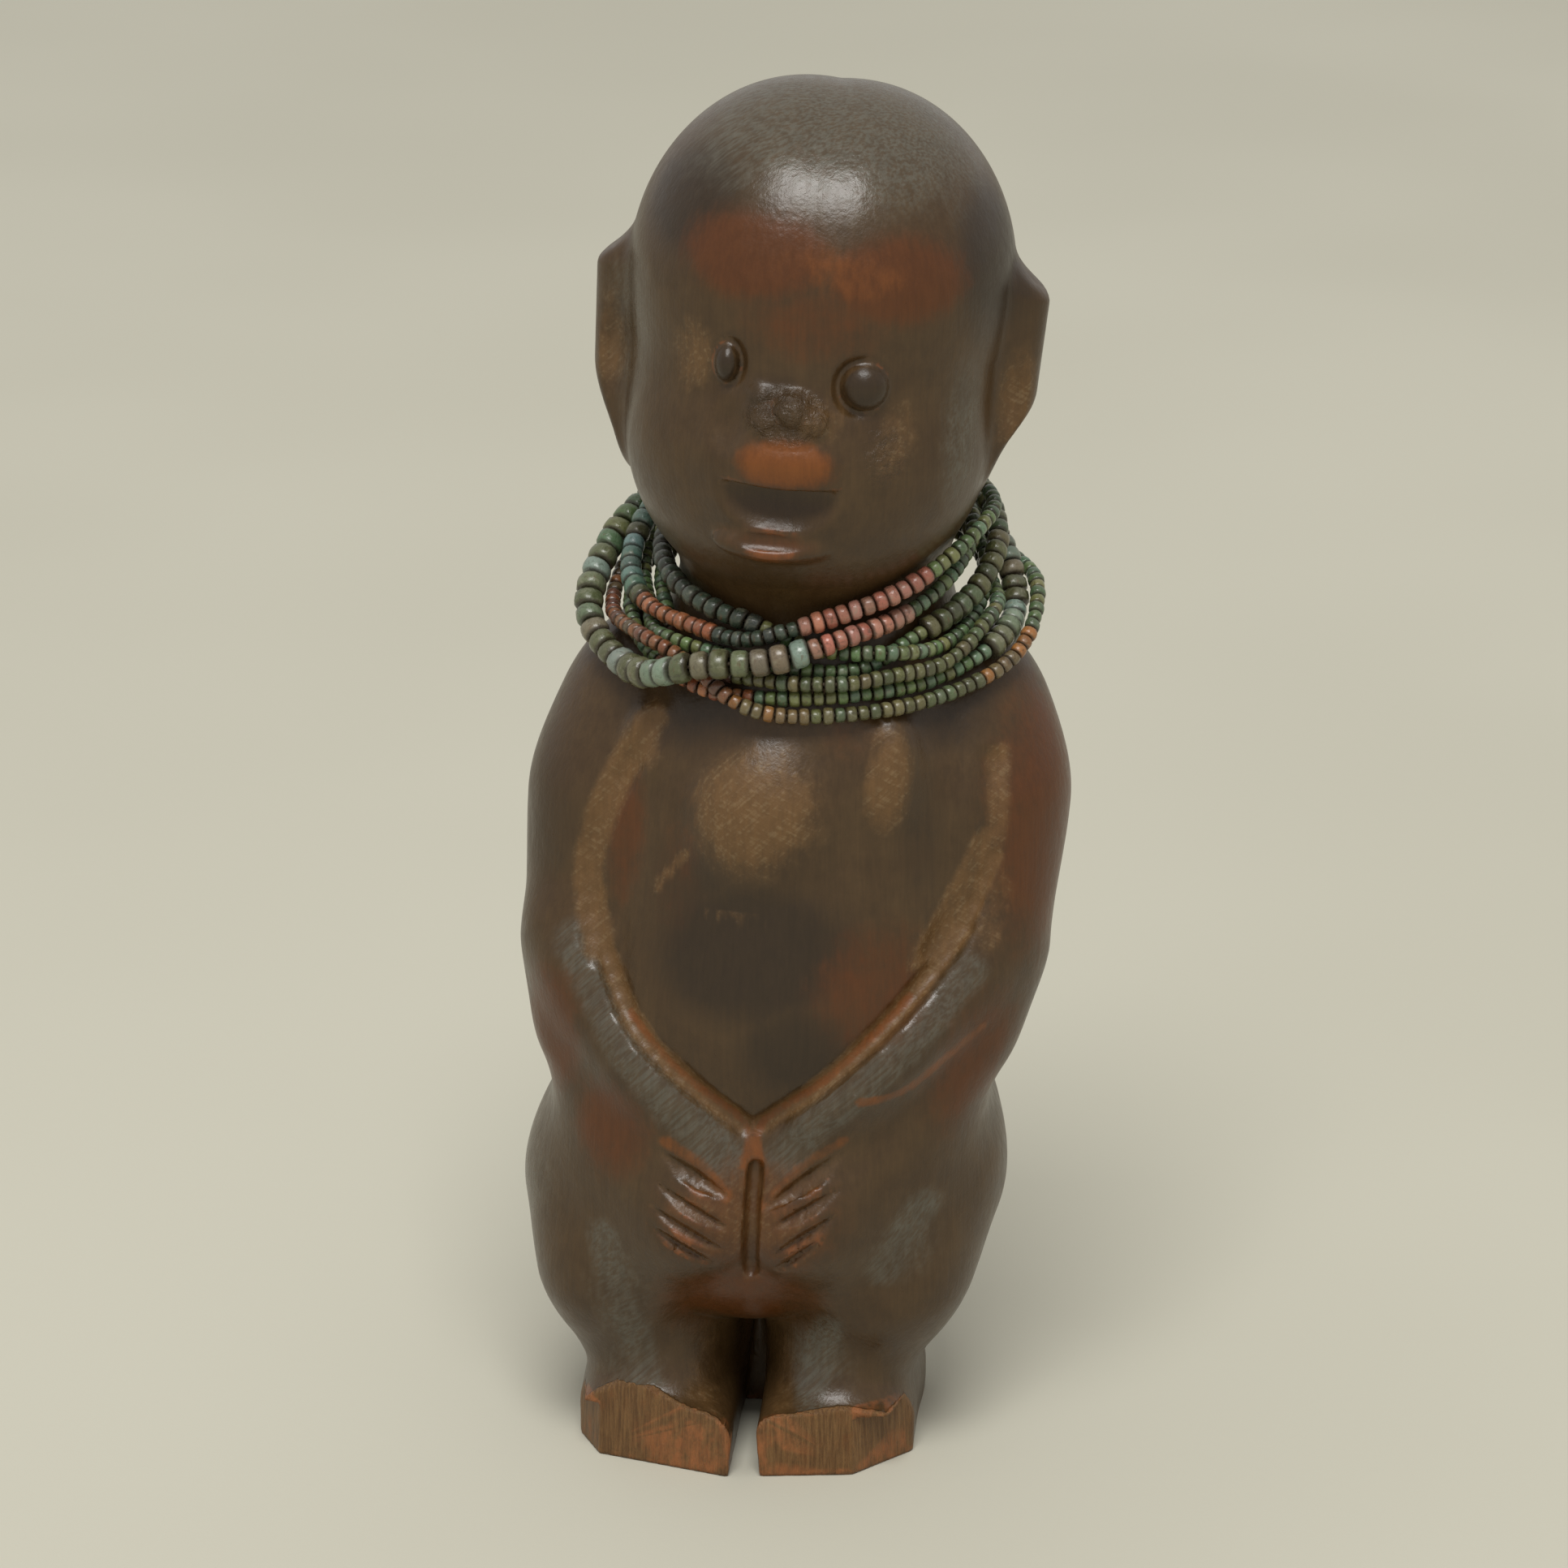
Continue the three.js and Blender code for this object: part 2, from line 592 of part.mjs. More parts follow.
// A closed tube round a loop. With beads counted, it swells at each bead and narrows between them.
function strandGeometry(loop, beads) {
  const curve = new THREE.CatmullRomCurve3(loop.map((bead) => bead.point), true);
  const rings = beads ? beads * 2 : PLAIN_RINGS;
  const { normals, binormals } = curve.computeFrenetFrames(rings, true);
  const positions = [];
  const faces = [];
  for (let ring = 0; ring < rings; ring += 1) {
    const centre = curve.getPointAt(ring / rings);
    const near = loop.reduce((a, b) => (
      a.point.distanceTo(centre) < b.point.distanceTo(centre) ? a : b
    ));
    const radius = near.radius * (beads && ring % 2 ? BETWEEN_BEADS : 1);
    for (let side = 0; side < TUBE_SIDES; side += 1) {
      const angle = 2 * Math.PI * side / TUBE_SIDES;
      const rim = centre.clone()
        .addScaledVector(normals[ring], radius * Math.cos(angle))
        .addScaledVector(binormals[ring], radius * Math.sin(angle));
      positions.push(...rim.toArray());
      const next = (ring + 1) % rings;
      const beside = (side + 1) % TUBE_SIDES;
      const [a, b, c, d] = [
        ring * TUBE_SIDES + side,
        ring * TUBE_SIDES + beside,
        next * TUBE_SIDES + beside,
        next * TUBE_SIDES + side,
      ];
      faces.push(a, b, c, a, c, d);
    }
  }
  const geometry = new THREE.BufferGeometry();
  geometry.setAttribute('position', new THREE.Float32BufferAttribute(positions, 3));
  geometry.setIndex(faces);
  geometry.computeVertexNormals();
  return geometry;
}

const wood = new THREE.MeshStandardMaterial({ color: 0x4a3524, roughness: 0.42, metalness: 0 });
const figureMesh = new THREE.Mesh(toGeometry(solid), wood);
figureMesh.name = 'carved_figure';

const group = new THREE.Group();
group.scale.setScalar(HEIGHT / DRAWN_HEIGHT);
group.add(figureMesh);

const names = Object.keys(STRANDS);
const loops = names.map((name) => laidOut(STRANDS[name]));
settleStrands(loops);
names.forEach((name, n) => {
  const { color, beads } = STRANDS[name];
  const glass = new THREE.MeshStandardMaterial({ color, roughness: 0.35, metalness: 0 });
  const strand = new THREE.Mesh(strandGeometry(loops[n], beads), glass);
  strand.name = name;
  group.add(strand);
});

export default group;
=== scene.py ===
import math

import bpy
import numpy as np
from mathutils import Matrix, Vector


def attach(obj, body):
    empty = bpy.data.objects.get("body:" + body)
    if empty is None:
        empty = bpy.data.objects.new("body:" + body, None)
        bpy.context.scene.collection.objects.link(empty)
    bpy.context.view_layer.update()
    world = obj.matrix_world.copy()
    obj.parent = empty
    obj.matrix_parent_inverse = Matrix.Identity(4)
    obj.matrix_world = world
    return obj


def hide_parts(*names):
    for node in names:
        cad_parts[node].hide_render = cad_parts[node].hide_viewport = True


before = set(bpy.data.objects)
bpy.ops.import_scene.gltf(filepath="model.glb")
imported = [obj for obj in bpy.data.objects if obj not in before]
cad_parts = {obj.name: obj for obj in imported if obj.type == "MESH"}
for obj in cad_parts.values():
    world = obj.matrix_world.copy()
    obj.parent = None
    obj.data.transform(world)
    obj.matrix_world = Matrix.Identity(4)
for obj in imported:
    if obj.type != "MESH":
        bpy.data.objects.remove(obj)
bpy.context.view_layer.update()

# Lengths are written in millimetres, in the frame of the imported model, and scaled as it is.
MM = 0.001
DRAWN_HEIGHT = 200
WOOD_NODE = "carved_figure"

# Midline of the leaning block, as the solid has it.
MIDLINE_AT_FEET = -5.8
MIDLINE_AT_CHEST = 1.8
MIDLINE_STRAIGHT_FROM = 125
HEAD_CENTRE = (3.1, -1, 162.6)
HEAD_ROLL = 4
HEAD_YAW = -1.5

# Grid of the figure's fine mesh.
GRID_LOW = (-44, -38, -12)
GRID_HIGH = (46, 36, DRAWN_HEIGHT + 4)
FINE_STEP = 0.56
FACES_KEPT = 190000
GRID_BLOCK = 4


# Shape functions: each gives the distance of points from a solid, below zero inside it.

def ellipsoid(centre, radii):
    cx, cy, cz = centre
    rx, ry, rz = radii

    def distance(x, y, z):
        ax, ay, az = (x - cx) / rx, (y - cy) / ry, (z - cz) / rz
        near = np.sqrt(ax * ax + ay * ay + az * az)
        slope = np.sqrt((ax / rx) ** 2 + (ay / ry) ** 2 + (az / rz) ** 2)
        return near * (near - 1) / np.maximum(slope, 1e-6)
    return distance


def limb(start, start_radius, end, end_radius):
    ax, ay, az = start
    dx, dy, dz = (e - s for s, e in zip(start, end))
    square = dx * dx + dy * dy + dz * dz

    def distance(x, y, z):
        t = np.clip(((x - ax) * dx + (y - ay) * dy + (z - az) * dz) / square, 0, 1)
        radius = start_radius + (end_radius - start_radius) * t
        across = (x - ax - dx * t) ** 2 + (y - ay - dy * t) ** 2 + (z - az - dz * t) ** 2
        return np.sqrt(across) - radius
    return distance


def slab(centre, half, rounding):
    def distance(x, y, z):
        dx, dy, dz = (np.abs(v - c) - h + rounding for v, c, h in zip((x, y, z), centre, half))
        outside = np.sqrt(np.maximum(dx, 0) ** 2 + np.maximum(dy, 0) ** 2 + np.maximum(dz, 0) ** 2)
        return outside + np.minimum(np.maximum(np.maximum(dx, dy), dz), 0) - rounding
    return distance


def soft_min(a, b, soft):
    h = np.maximum(soft - np.abs(a - b), 0) / soft
    return np.minimum(a, b) - h * h * soft / 4


def join(soft, *solids):
    def distance(x, y, z):
        nearest = solids[0](x, y, z)
        for solid in solids[1:]:
            nearest = soft_min(nearest, solid(x, y, z), soft)
        return nearest
    return distance


def carve(soft, solid, *tools):
    def distance(x, y, z):
        cut = tools[0](x, y, z)
        for tool in tools[1:]:
            cut = np.minimum(cut, tool(x, y, z))
        return -soft_min(-solid(x, y, z), cut, soft)
    return distance


def both_sides(solid):
    return lambda x, y, z: solid(np.abs(x), y, z)


def under(level, solid):
    """The part of a solid below a level."""
    return lambda x, y, z: np.maximum(solid(x, y, z), z - level)


def beyond(point, outward):
    """All space on the outer side of a plane."""
    return lambda x, y, z: -sum((v - c) * n for v, c, n in zip((x, y, z), point, outward))


def placed(centre, roll, yaw, solid):
    turn = Matrix.Rotation(math.radians(yaw), 3, "Z") @ Matrix.Rotation(math.radians(roll), 3, "Y")
    across, ahead, up = turn.col

    def distance(x, y, z):
        px, py, pz = x - centre[0], y - centre[1], z - centre[2]
        return solid(*(px * axis.x + py * axis.y + pz * axis.z for axis in (across, ahead, up)))
    return distance


# The carving, from the same masses as the solid.

def torso():
    trunk = join(
        8,
        ellipsoid((0, 1, 97), (31.5, 25.5, 31)),
        ellipsoid((0, -1.5, 71), (31, 26.5, 34)),
        ellipsoid((0, -3.5, 36), (22, 22.5, 18)),
        limb((0.5, 2, 108), 22, (1.5, 2, 140), 18),
    )
    breastbone = ellipsoid((-3.2, -20.4, 100), (10.5, 7, 11.5))
    breast_right = ellipsoid((13.4, -18.6, 107), (4.2, 3.9, 8.5))
    breast_left = ellipsoid((-20.5, -14, 108.5), (4, 3.2, 6))
    return join(3, trunk, breastbone, breast_right, breast_left)


def arms():
    shoulder = ellipsoid((19.5, 1, 99), (17.8, 17.5, 26))
    upper = limb((25.3, -3, 97), 11.9, (26.4, -6, 77), 11.6)
    forearm = limb((24.3, -8, 65), 10.6, (8, -19.5, 41.5), 10)
    hand = ellipsoid((6, -19.5, 41), (10.5, 9, 10.5))
    return both_sides(join(5, join(7, shoulder, upper, forearm), hand))


def legs():
    hip = ellipsoid((19.8, 3, 41.5), (14.2, 23, 19))
    thigh = limb((20.8, -2, 38), 13.3, (18, -8, 28), 13.2)
    shin = limb((16, -7, 28), 14, (12.7, -3.5, 11), 11.2)
    instep = limb((13.4, -7.6, 18), 9.6, (13, -17, 0), 8.6)
    foot = slab((12.8, -10, 1), (11.8, 22, 8.6), 5)
    heel = ellipsoid((13, 6, 3), (10.5, 14, 12))
    web = limb((0, 4, 20), 8, (0, 4, 4), 7)
    return both_sides(join(4, join(6, hip, thigh, shin), instep, foot, heel, web))


def head():
    skull = both_sides(ellipsoid((3.5, 2, 11.6), (22.8, 26.6, 26)))
    jaw = ellipsoid((0, -2, -10.6), (25, 24, 24))
    cheeks = limb((0, 2, 10.5), 25.9, (0, -2, -10.6), 24.4)
    muzzle = ellipsoid((-1.5, -20, -10), (11, 7.6, 11))
    ear_right = placed((26.6, 2, -1.2), 3, 14, slab((0, 0, 0), (4.5, 4.6, 15.5), 4.2))
    ear_left = placed((-26.2, 2, -2.6), -2, -14, slab((0, 0, 0), (4.8, 4.6, 16.5), 4.2))
    trimmed_right = carve(1, ear_right, beyond((32, 0, -3.4), (0.84, 0, -0.54)))
    trimmed_right = carve(1, trimmed_right, beyond((27, 0, 14.3), (0.6, 0, 0.8)))
    trimmed_left = carve(1, ear_left, beyond((-30.6, 0, -7), (-0.9, 0, -0.44)))
    trimmed_left = carve(1, trimmed_left, beyond((-26.4, 0, 14.2), (-0.6, 0, 0.8)))
    plain = join(3, skull, jaw, cheeks, muzzle, trimmed_right, trimmed_left)
    cut = carve(
        0.8,
        plain,
        ellipsoid((8.9, -24.8, 2.4), (4.1, 2.6, 4.3)),
        ellipsoid((-9.7, -24.6, 3.9), (2.5, 2.6, 3.8)),
        under(-12, ellipsoid((-1.5, -28, -13.5), (9.6, 4.4, 6.4))),
        ellipsoid((-11, -30.3, -3), (6, 6.6, 7)),
        ellipsoid((28.6, -6.2, -3.5), (3.4, 5, 9.5)),
        ellipsoid((-28.4, -6, -1.5), (2.8, 5, 9)),
    )
    eye_right = ellipsoid((8.9, -22.8, 2.4), (3.3, 3, 3.4))
    eye_left = ellipsoid((-9.7, -22.4, 3.9), (1.8, 2.9, 2.9))
    nose = join(
        1,
        ellipsoid((-0.3, -25.4, -1.4), (2.7, 2.7, 2.7)),
        ellipsoid((-3.7, -24.9, -3), (2.5, 2.5, 2.2)),
        ellipsoid((2.7, -25, -2.8), (2.3, 2.5, 2.3)),
        ellipsoid((-4.6, -24, 0.4), (2.2, 2, 1.8)),
    )
    upper_lip = ellipsoid((-0.6, -24.6, -8.8), (8, 4.3, 4.2))
    lip = ellipsoid((-2.1, -23.4, -21), (8, 3.2, 2.6))
    dish = ellipsoid((-2.1, -27.4, -20), (6.8, 2.4, 1.9))
    lipped = carve(0.4, join(1, cut, upper_lip, lip), dish)
    mouthed = carve(0.4, lipped, under(-12, ellipsoid((-1.5, -28.4, -14), (9.4, 4.8, 5))))
    return placed(HEAD_CENTRE, HEAD_ROLL, HEAD_YAW, join(0.8, mouthed, eye_right, eye_left, nose))


def midline(z):
    t = np.clip(z / MIDLINE_STRAIGHT_FROM, 0, 1)
    return MIDLINE_AT_FEET + (MIDLINE_AT_CHEST - MIDLINE_AT_FEET) * t * t * (3 - 2 * t)


def front_of(solid, x, z):
    """Where the front surface lies behind points of the front view, found by walking inward."""
    y = np.full_like(x, -60.0)
    for _ in range(60):
        distance = solid(x, y, z)
        y = np.where(distance > 0.01, y + np.maximum(distance * 0.8, 0.02), y)
    return y


def smooth_line(points, count):
    """Evenly spaced points on a smooth curve through a few."""
    corners = np.array(points, float)
    ends = np.vstack([2 * corners[0] - corners[1], corners, 2 * corners[-1] - corners[-2]])
    fine = []
    for n in range(len(corners) - 1):
        a, b, c, d = ends[n:n + 4]
        for t in np.linspace(0, 1, 16, endpoint=False):
            fine.append(0.5 * (2 * b + (c - a) * t + (2 * a - 5 * b + 4 * c - d) * t * t
                               + (3 * b - a - 3 * c + d) * t ** 3))
    fine = np.array(fine + [corners[-1]])
    along = np.concatenate([[0], np.cumsum(np.linalg.norm(np.diff(fine, axis=0), axis=1))])
    wanted = np.linspace(0, along[-1], count)
    return np.stack([np.interp(wanted, along, fine[:, k]) for k in range(fine.shape[1])], axis=1)


def groove(solid, radius, depth, line, runs=14):
    """A round-bottomed furrow along a line drawn on the front view."""
    flat = smooth_line(line, runs + 1)
    y = front_of(solid, flat[:, 0], flat[:, 1]) - radius + depth
    points = [(x, d, z) for (x, z), d in zip(flat, y)]
    return join(0.5, *(limb(a, radius, b, radius) for a, b in zip(points, points[1:])))


def crest(solid, radius, rise, line, runs=10):
    """A rounded ridge along a line drawn on the front view, that stands proud and dies out at both ends."""
    flat = smooth_line(line, runs + 1)
    y = front_of(solid, flat[:, 0], flat[:, 1])
    swell = np.sin(np.linspace(0, math.pi, runs + 1)) ** 0.5
    points = [(x, d + radius - rise * share, z) for (x, z), d, share in zip(flat, y, swell)]
    return join(0.5, *(limb(a, radius, b, radius) for a, b in zip(points, points[1:])))


# Chisel cuts that part the fingers, [x, z] from the midline to [x, z], and their width.
FINGER_CUTS = [
    ((-14, 51.6), (-3.4, 46), 3.4),
    ((-15.6, 48), (-1.6, 40.6), 2.4),
    ((-16, 44.6), (-2, 37), 2.4),
    ((-14.6, 41), (-4.2, 35), 2.2),
    ((12.4, 52.4), (1.9, 44.2), 3.8),
    ((13, 47.8), (2.6, 41.2), 2.4),
    ((12.6, 44), (3.4, 37), 2.4),
    ((10.6, 40.4), (4.2, 34), 2.2),
]
FINGER_CUT_DEPTH = 1.4


def finger_cut(solid, start, end, width):
    """A long leaf with sharp edges, sunk in the surface from point to point and bent to follow it."""
    middle = tuple((a + b) / 2 for a, b in zip(start, end))
    spots = []
    for x, z in (start, middle, end):
        across = np.array([x + midline(z)])
        level = np.array([float(z)])
        spots.append(Vector((across[0], front_of(solid, across, level)[0], z)))
    first, centre, last = spots
    half = ((last - first).length / 2 + 1, width / 2, FINGER_CUT_DEPTH)
    along = (last - first).normalized()
    outward = Vector((0.25 * math.copysign(1, start[0]), -1, 0.1))
    across = outward.cross(along).normalized()
    outward = along.cross(across)
    bow = (centre - (first + last) / 2).dot(outward)
    steep = math.sqrt(sum(1 / h ** 2 for h in half))

    def distance(x, y, z):
        px, py, pz = x - centre.x, y - centre.y, z - centre.z
        u, v, w = (px * axis.x + py * axis.y + pz * axis.z for axis in (along, across, outward))
        w = w + bow * (u / half[0]) ** 2
        share = (u / half[0]) ** 2 + np.abs(v) / half[1] + np.abs(w) / half[2]
        return (share - 1) / steep
    return distance


LEG_GAP_CENTRE = 0.8
LEG_GAP_TOP = 15.5
LEG_GAP_BACK = 0

# The sawn front of each foot: side of the body, a point of the sole's edge, turn of the face, and its top.
FOOT_FACES = [
    (-1, (-2, -25.5), -17, 16),
    (-1, (-21, -19.8), -62, 8),
    (1, (2.8, -25), 7, 16),
    (1, (16.4, -23.3), 46, 9),
]
SAWN_TOP = 12


def foot_face(side, corner, turn, top):
    """Everything in front of one face of one foot."""
    angle = math.radians(turn)

    def distance(x, y, z):
        across, ahead = x - MIDLINE_AT_FEET - corner[0], y - corner[1]
        front = -across * math.sin(angle) + ahead * math.cos(angle) - 0.05 * z
        return np.maximum(np.maximum(front, z - top), -side * (across + corner[0] - LEG_GAP_CENTRE) - 3)
    return distance


LEFT_CREST = [(-29.6, 80), (-24.2, 71), (-17.4, 63.4), (-10.8, 56.8), (-4.4, 50)]
RIGHT_CREST = [(27.6, 80), (22, 71.4), (15.2, 64.2), (8.6, 57.8), (3.6, 50.8)]
LEFT_ARM_CREASE = [(-20, 113), (-24.4, 105), (-27.4, 96), (-27.8, 88), (-25.5, 80)]
RIGHT_ARM_CREASE = [(28.5, 108), (28.9, 98), (27, 89), (23, 81)]
LEFT_BELLY_EDGE = [(-25.5, 81), (-20, 71), (-11.5, 63), (-2.2, 55.6)]
RIGHT_BELLY_EDGE = [(28.9, 94), (25.2, 83), (19, 74.4), (9, 63.7), (0.2, 55.7)]
PARTING = [(0, 49.6), (0.3, 42), (0.6, 33)]


def leg_gap(x, y, z):
    half_width = 0.9 + 0.08 * (LEG_GAP_TOP - z)
    return np.maximum(np.maximum(np.abs(x - LEG_GAP_CENTRE) - half_width, z - LEG_GAP_TOP), y - LEG_GAP_BACK)


def figure():
    trunk = torso()
    plain = join(2, trunk, arms(), legs())
    forearms = join(5, arms(), crest(plain, 6, 4, LEFT_CREST), crest(plain, 6, 4, RIGHT_CREST))
    ridged = join(1.4, trunk, join(9, forearms, legs()))
    creased = carve(
        0.8,
        ridged,
        groove(ridged, 3, 0.8, LEFT_ARM_CREASE),
        groove(ridged, 3, 0.7, RIGHT_ARM_CREASE),
        groove(ridged, 1.5, 1.1, LEFT_BELLY_EDGE),
        groove(ridged, 1.5, 1.1, RIGHT_BELLY_EDGE),
        groove(ridged, 1, 1.3, PARTING),
    )
    legged = carve(1.2, creased, leg_gap)
    skull = head()

    def whole(x, y, z):
        return soft_min(legged(x - midline(z), y, z), skull(x, y, z), 4)
    cuts = [finger_cut(whole, *cut) for cut in FINGER_CUTS]
    fingered = carve(0.25, whole, *cuts)
    faced = carve(0.4, fingered, *(foot_face(*face) for face in FOOT_FACES))

    def grounded(x, y, z):
        return -soft_min(-faced(x, y, z), z, 0.5)
    return grounded


# Fine mesh of a shape function: one point in each grid cell that the surface crosses, and one
# four-sided face round each grid edge that it crosses.

def field_on_grid(shape, low, counts, step):
    """The shape function on a grid, worked out only near the surface."""
    blocks = [-(-count // GRID_BLOCK) for count in counts]
    centres = [low[k] + (np.arange(n) * GRID_BLOCK + (GRID_BLOCK - 1) / 2) * step
               for k, n in enumerate(blocks)]
    rough = shape(*np.meshgrid(*centres, indexing="ij"))
    for axis in range(3):
        rough = np.repeat(rough, GRID_BLOCK, axis)
    rough = rough[:counts[0], :counts[1], :counts[2]].astype(np.float32)
    near = np.nonzero(np.abs(rough) < 1.8 * GRID_BLOCK * step)
    rough[near] = shape(*(low[k] + near[k] * step for k in range(3)))
    return rough


def surface_points(field, low, step):
    inside = field < 0
    total = np.zeros(tuple(n - 1 for n in field.shape) + (3,), np.float32)
    hits = np.zeros(total.shape[:3], np.float32)
    crossings = []
    for axis in range(3):
        lower = [slice(None)] * 3
        upper = [slice(None)] * 3
        lower[axis] = slice(None, -1)
        upper[axis] = slice(1, None)
        a, b = field[tuple(lower)], field[tuple(upper)]
        ijk = np.nonzero(inside[tuple(lower)] != inside[tuple(upper)])
        share = a[ijk] / (a[ijk] - b[ijk])
        place = np.stack(ijk, axis=1).astype(np.float32)
        place[:, axis] += share
        others = [k for k in range(3) if k != axis]
        for da in (0, 1):
            for db in (0, 1):
                cell = [ijk[0].copy(), ijk[1].copy(), ijk[2].copy()]
                cell[others[0]] -= da
                cell[others[1]] -= db
                cell = tuple(cell)
                np.add.at(total, cell, place)
                np.add.at(hits, cell, 1)
        crossings.append((ijk, inside[tuple(lower)][ijk]))
    cells = np.nonzero(hits > 0)
    points = total[cells] / hits[cells][:, None] * step + np.array(low)
    index = np.full(hits.shape, -1)
    index[cells] = np.arange(len(points))
    return points, index, crossings


def surface_faces(index, crossings):
    faces = []
    for axis, (ijk, starts_inside) in enumerate(crossings):
        first, second = (axis + 1) % 3, (axis + 2) % 3
        corners = []
        for da, db in ((0, 0), (1, 0), (1, 1), (0, 1)):
            cell = [ijk[0].copy(), ijk[1].copy(), ijk[2].copy()]
            cell[first] -= da
            cell[second] -= db
            corners.append(index[tuple(cell)])
        quad = np.stack(corners, axis=1)
        quad[~starts_inside] = quad[~starts_inside][:, ::-1]
        faces.append(quad)
    return np.vstack(faces)


def slope_of(shape, points, reach=0.05):
    x, y, z = points.T
    slope = np.stack([
        shape(x + reach, y, z) - shape(x - reach, y, z),
        shape(x, y + reach, z) - shape(x, y - reach, z),
        shape(x, y, z + reach) - shape(x, y, z - reach),
    ], axis=1) / (2 * reach)
    return slope


def settle(shape, points, rounds=3):
    """Moves points along the slope of the shape function until they lie on the surface."""
    for _ in range(rounds):
        slope = slope_of(shape, points)
        square = np.maximum((slope ** 2).sum(axis=1), 0.25)
        points = points - slope * (0.9 * shape(*points.T) / square)[:, None]
    return points


def new_mesh(name, points, faces):
    mesh = bpy.data.meshes.new(name)
    mesh.from_pydata((np.asarray(points) * MM).tolist(), [], np.asarray(faces).tolist())
    mesh.polygons.foreach_set("use_smooth", [True] * len(mesh.polygons))
    mesh.update()
    piece = bpy.data.objects.new(name, mesh)
    bpy.context.scene.collection.objects.link(piece)
    return piece


def apply_modifiers(piece):
    bpy.context.view_layer.update()
    evaluated = piece.evaluated_get(bpy.context.evaluated_depsgraph_get())
    mesh = bpy.data.meshes.new_from_object(evaluated)
    piece.modifiers.clear()
    piece.data = mesh


def thin_out(piece, faces_kept):
    """Fewer faces where the surface is plain, all of them three-sided."""
    triangles = sum(len(face.vertices) - 2 for face in piece.data.polygons)
    if triangles > faces_kept:
        fewer = piece.modifiers.new("fewer faces", "DECIMATE")
        fewer.ratio = faces_kept / triangles
        apply_modifiers(piece)


def wood_figure():
    shape = figure()
    counts = [math.ceil((high - low) / FINE_STEP) + 1 for low, high in zip(GRID_LOW, GRID_HIGH)]
    field = field_on_grid(shape, GRID_LOW, counts, FINE_STEP)
    points, index, crossings = surface_points(field, GRID_LOW, FINE_STEP)
    points = settle(shape, points)
    points[:, 2] = np.maximum(points[:, 2], 0)
    piece = new_mesh("carved_wood", points, surface_faces(index, crossings))
    thin_out(piece, FACES_KEPT)
    return piece, shape


# Glass beads. Each strand is a run of kinds of bead by the angle round the neck, from the front.
NECK_AXIS = (1.9, 2)
KINDS = {
    "big": {"radius": 2.1, "pitch": 2.8},
    "stout": {"radius": 1.9, "pitch": 2.4},
    "medium": {"radius": 1.7, "pitch": 2.3},
    "dark": {"radius": 1.5, "pitch": 2.2},
    "pink": {"radius": 1.45, "pitch": 1.85},
    "coral": {"radius": 1.3, "pitch": 1.75},
    "small": {"radius": 1.15, "pitch": 1.65},
}
STRANDS = {
    "strand_blue_green": [
        (-180, "big", "leaf"), (-100, "big", "sea"), (0, "pink", "pink"), (44, "small", "leaf"),
        (150, "big", "leaf"),
    ],
    "strand_turquoise_coral": [
        (-180, "medium", "leaf"), (-120, "medium", "turquoise"), (-72, "coral", "coral"),
        (-30, "small", "night"), (-2, "pink", "pink"), (46, "small", "leaf"), (150, "medium", "leaf"),
    ],
    "strand_dark_green": [
        (-180, "dark", "leaf"), (-100, "dark", "night"), (-15, "small", "leaf"), (150, "dark", "leaf"),
    ],
    "strand_red_brown": [
        (-180, "small", "leaf"), (-110, "small", "rust"), (-20, "small", "amber"), (2, "small", "olive"),
        (60, "small", "amber"), (80, "small", "leaf"),
    ],
    "strand_olive": [
        (-180, "small", "leaf"), (-60, "small", "rust"), (-25, "small", "olive"), (70, "small", "leaf"),
    ],
    "strand_grey_green": [(-180, "small", "leaf"), (50, "medium", "olive"), (140, "small", "leaf")],
    "strand_outer_right": [
        (-180, "small", "leaf"), (-50, "small", "coral"), (-15, "small", "leaf"), (68, "stout", "sea"),
        (150, "small", "leaf"),
    ],
}


def middle_line(node, count=240, spread=4.0):
    """The middle line of a closed tube round the neck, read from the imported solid's own faces."""
    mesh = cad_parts[node].data
    centres = np.zeros(len(mesh.polygons) * 3)
    areas = np.zeros(len(mesh.polygons))
    mesh.polygons.foreach_get("center", centres)
    mesh.polygons.foreach_get("area", areas)
    centres = centres.reshape(-1, 3) / MM
    angles = np.degrees(np.arctan2(centres[:, 0] - NECK_AXIS[0], NECK_AXIS[1] - centres[:, 1]))
    line = []
    for wanted in np.linspace(-180, 180, count, endpoint=False):
        away = (angles - wanted + 180) % 360 - 180
        weight = areas * np.exp(-0.5 * (away / spread) ** 2)
        line.append((centres * weight[:, None]).sum(axis=0) / weight.sum())
    return np.array(line)


def bead_places(line, runs):
    """Where each bead sits on a closed line: its centre, direction, kind and glass, one touching the next."""
    closed = np.vstack([line, line[:1]])
    along = np.concatenate([[0], np.cumsum(np.linalg.norm(np.diff(closed, axis=0), axis=1))])

    def at(distance):
        return np.array([np.interp(distance % along[-1], along, closed[:, k]) for k in range(3)])
    places = []
    reached = 0.0
    while reached < along[-1] - 0.3:
        here = at(reached)
        degrees = math.degrees(math.atan2(here[0] - NECK_AXIS[0], NECK_AXIS[1] - here[1]))
        kind, glass = [(kind, glass) for start, kind, glass in runs if degrees >= start][-1]
        places.append((reached + KINDS[kind]["pitch"] / 2, kind, glass))
        reached += KINDS[kind]["pitch"]
    shrink = along[-1] / reached
    result = []
    for distance, kind, glass in places:
        distance *= shrink
        ahead = at(distance + 0.6) - at(distance - 0.6)
        result.append((at(distance), ahead / np.linalg.norm(ahead), kind, glass))
    return result


BEAD_SIDES = 14
BEAD_RINGS = 7


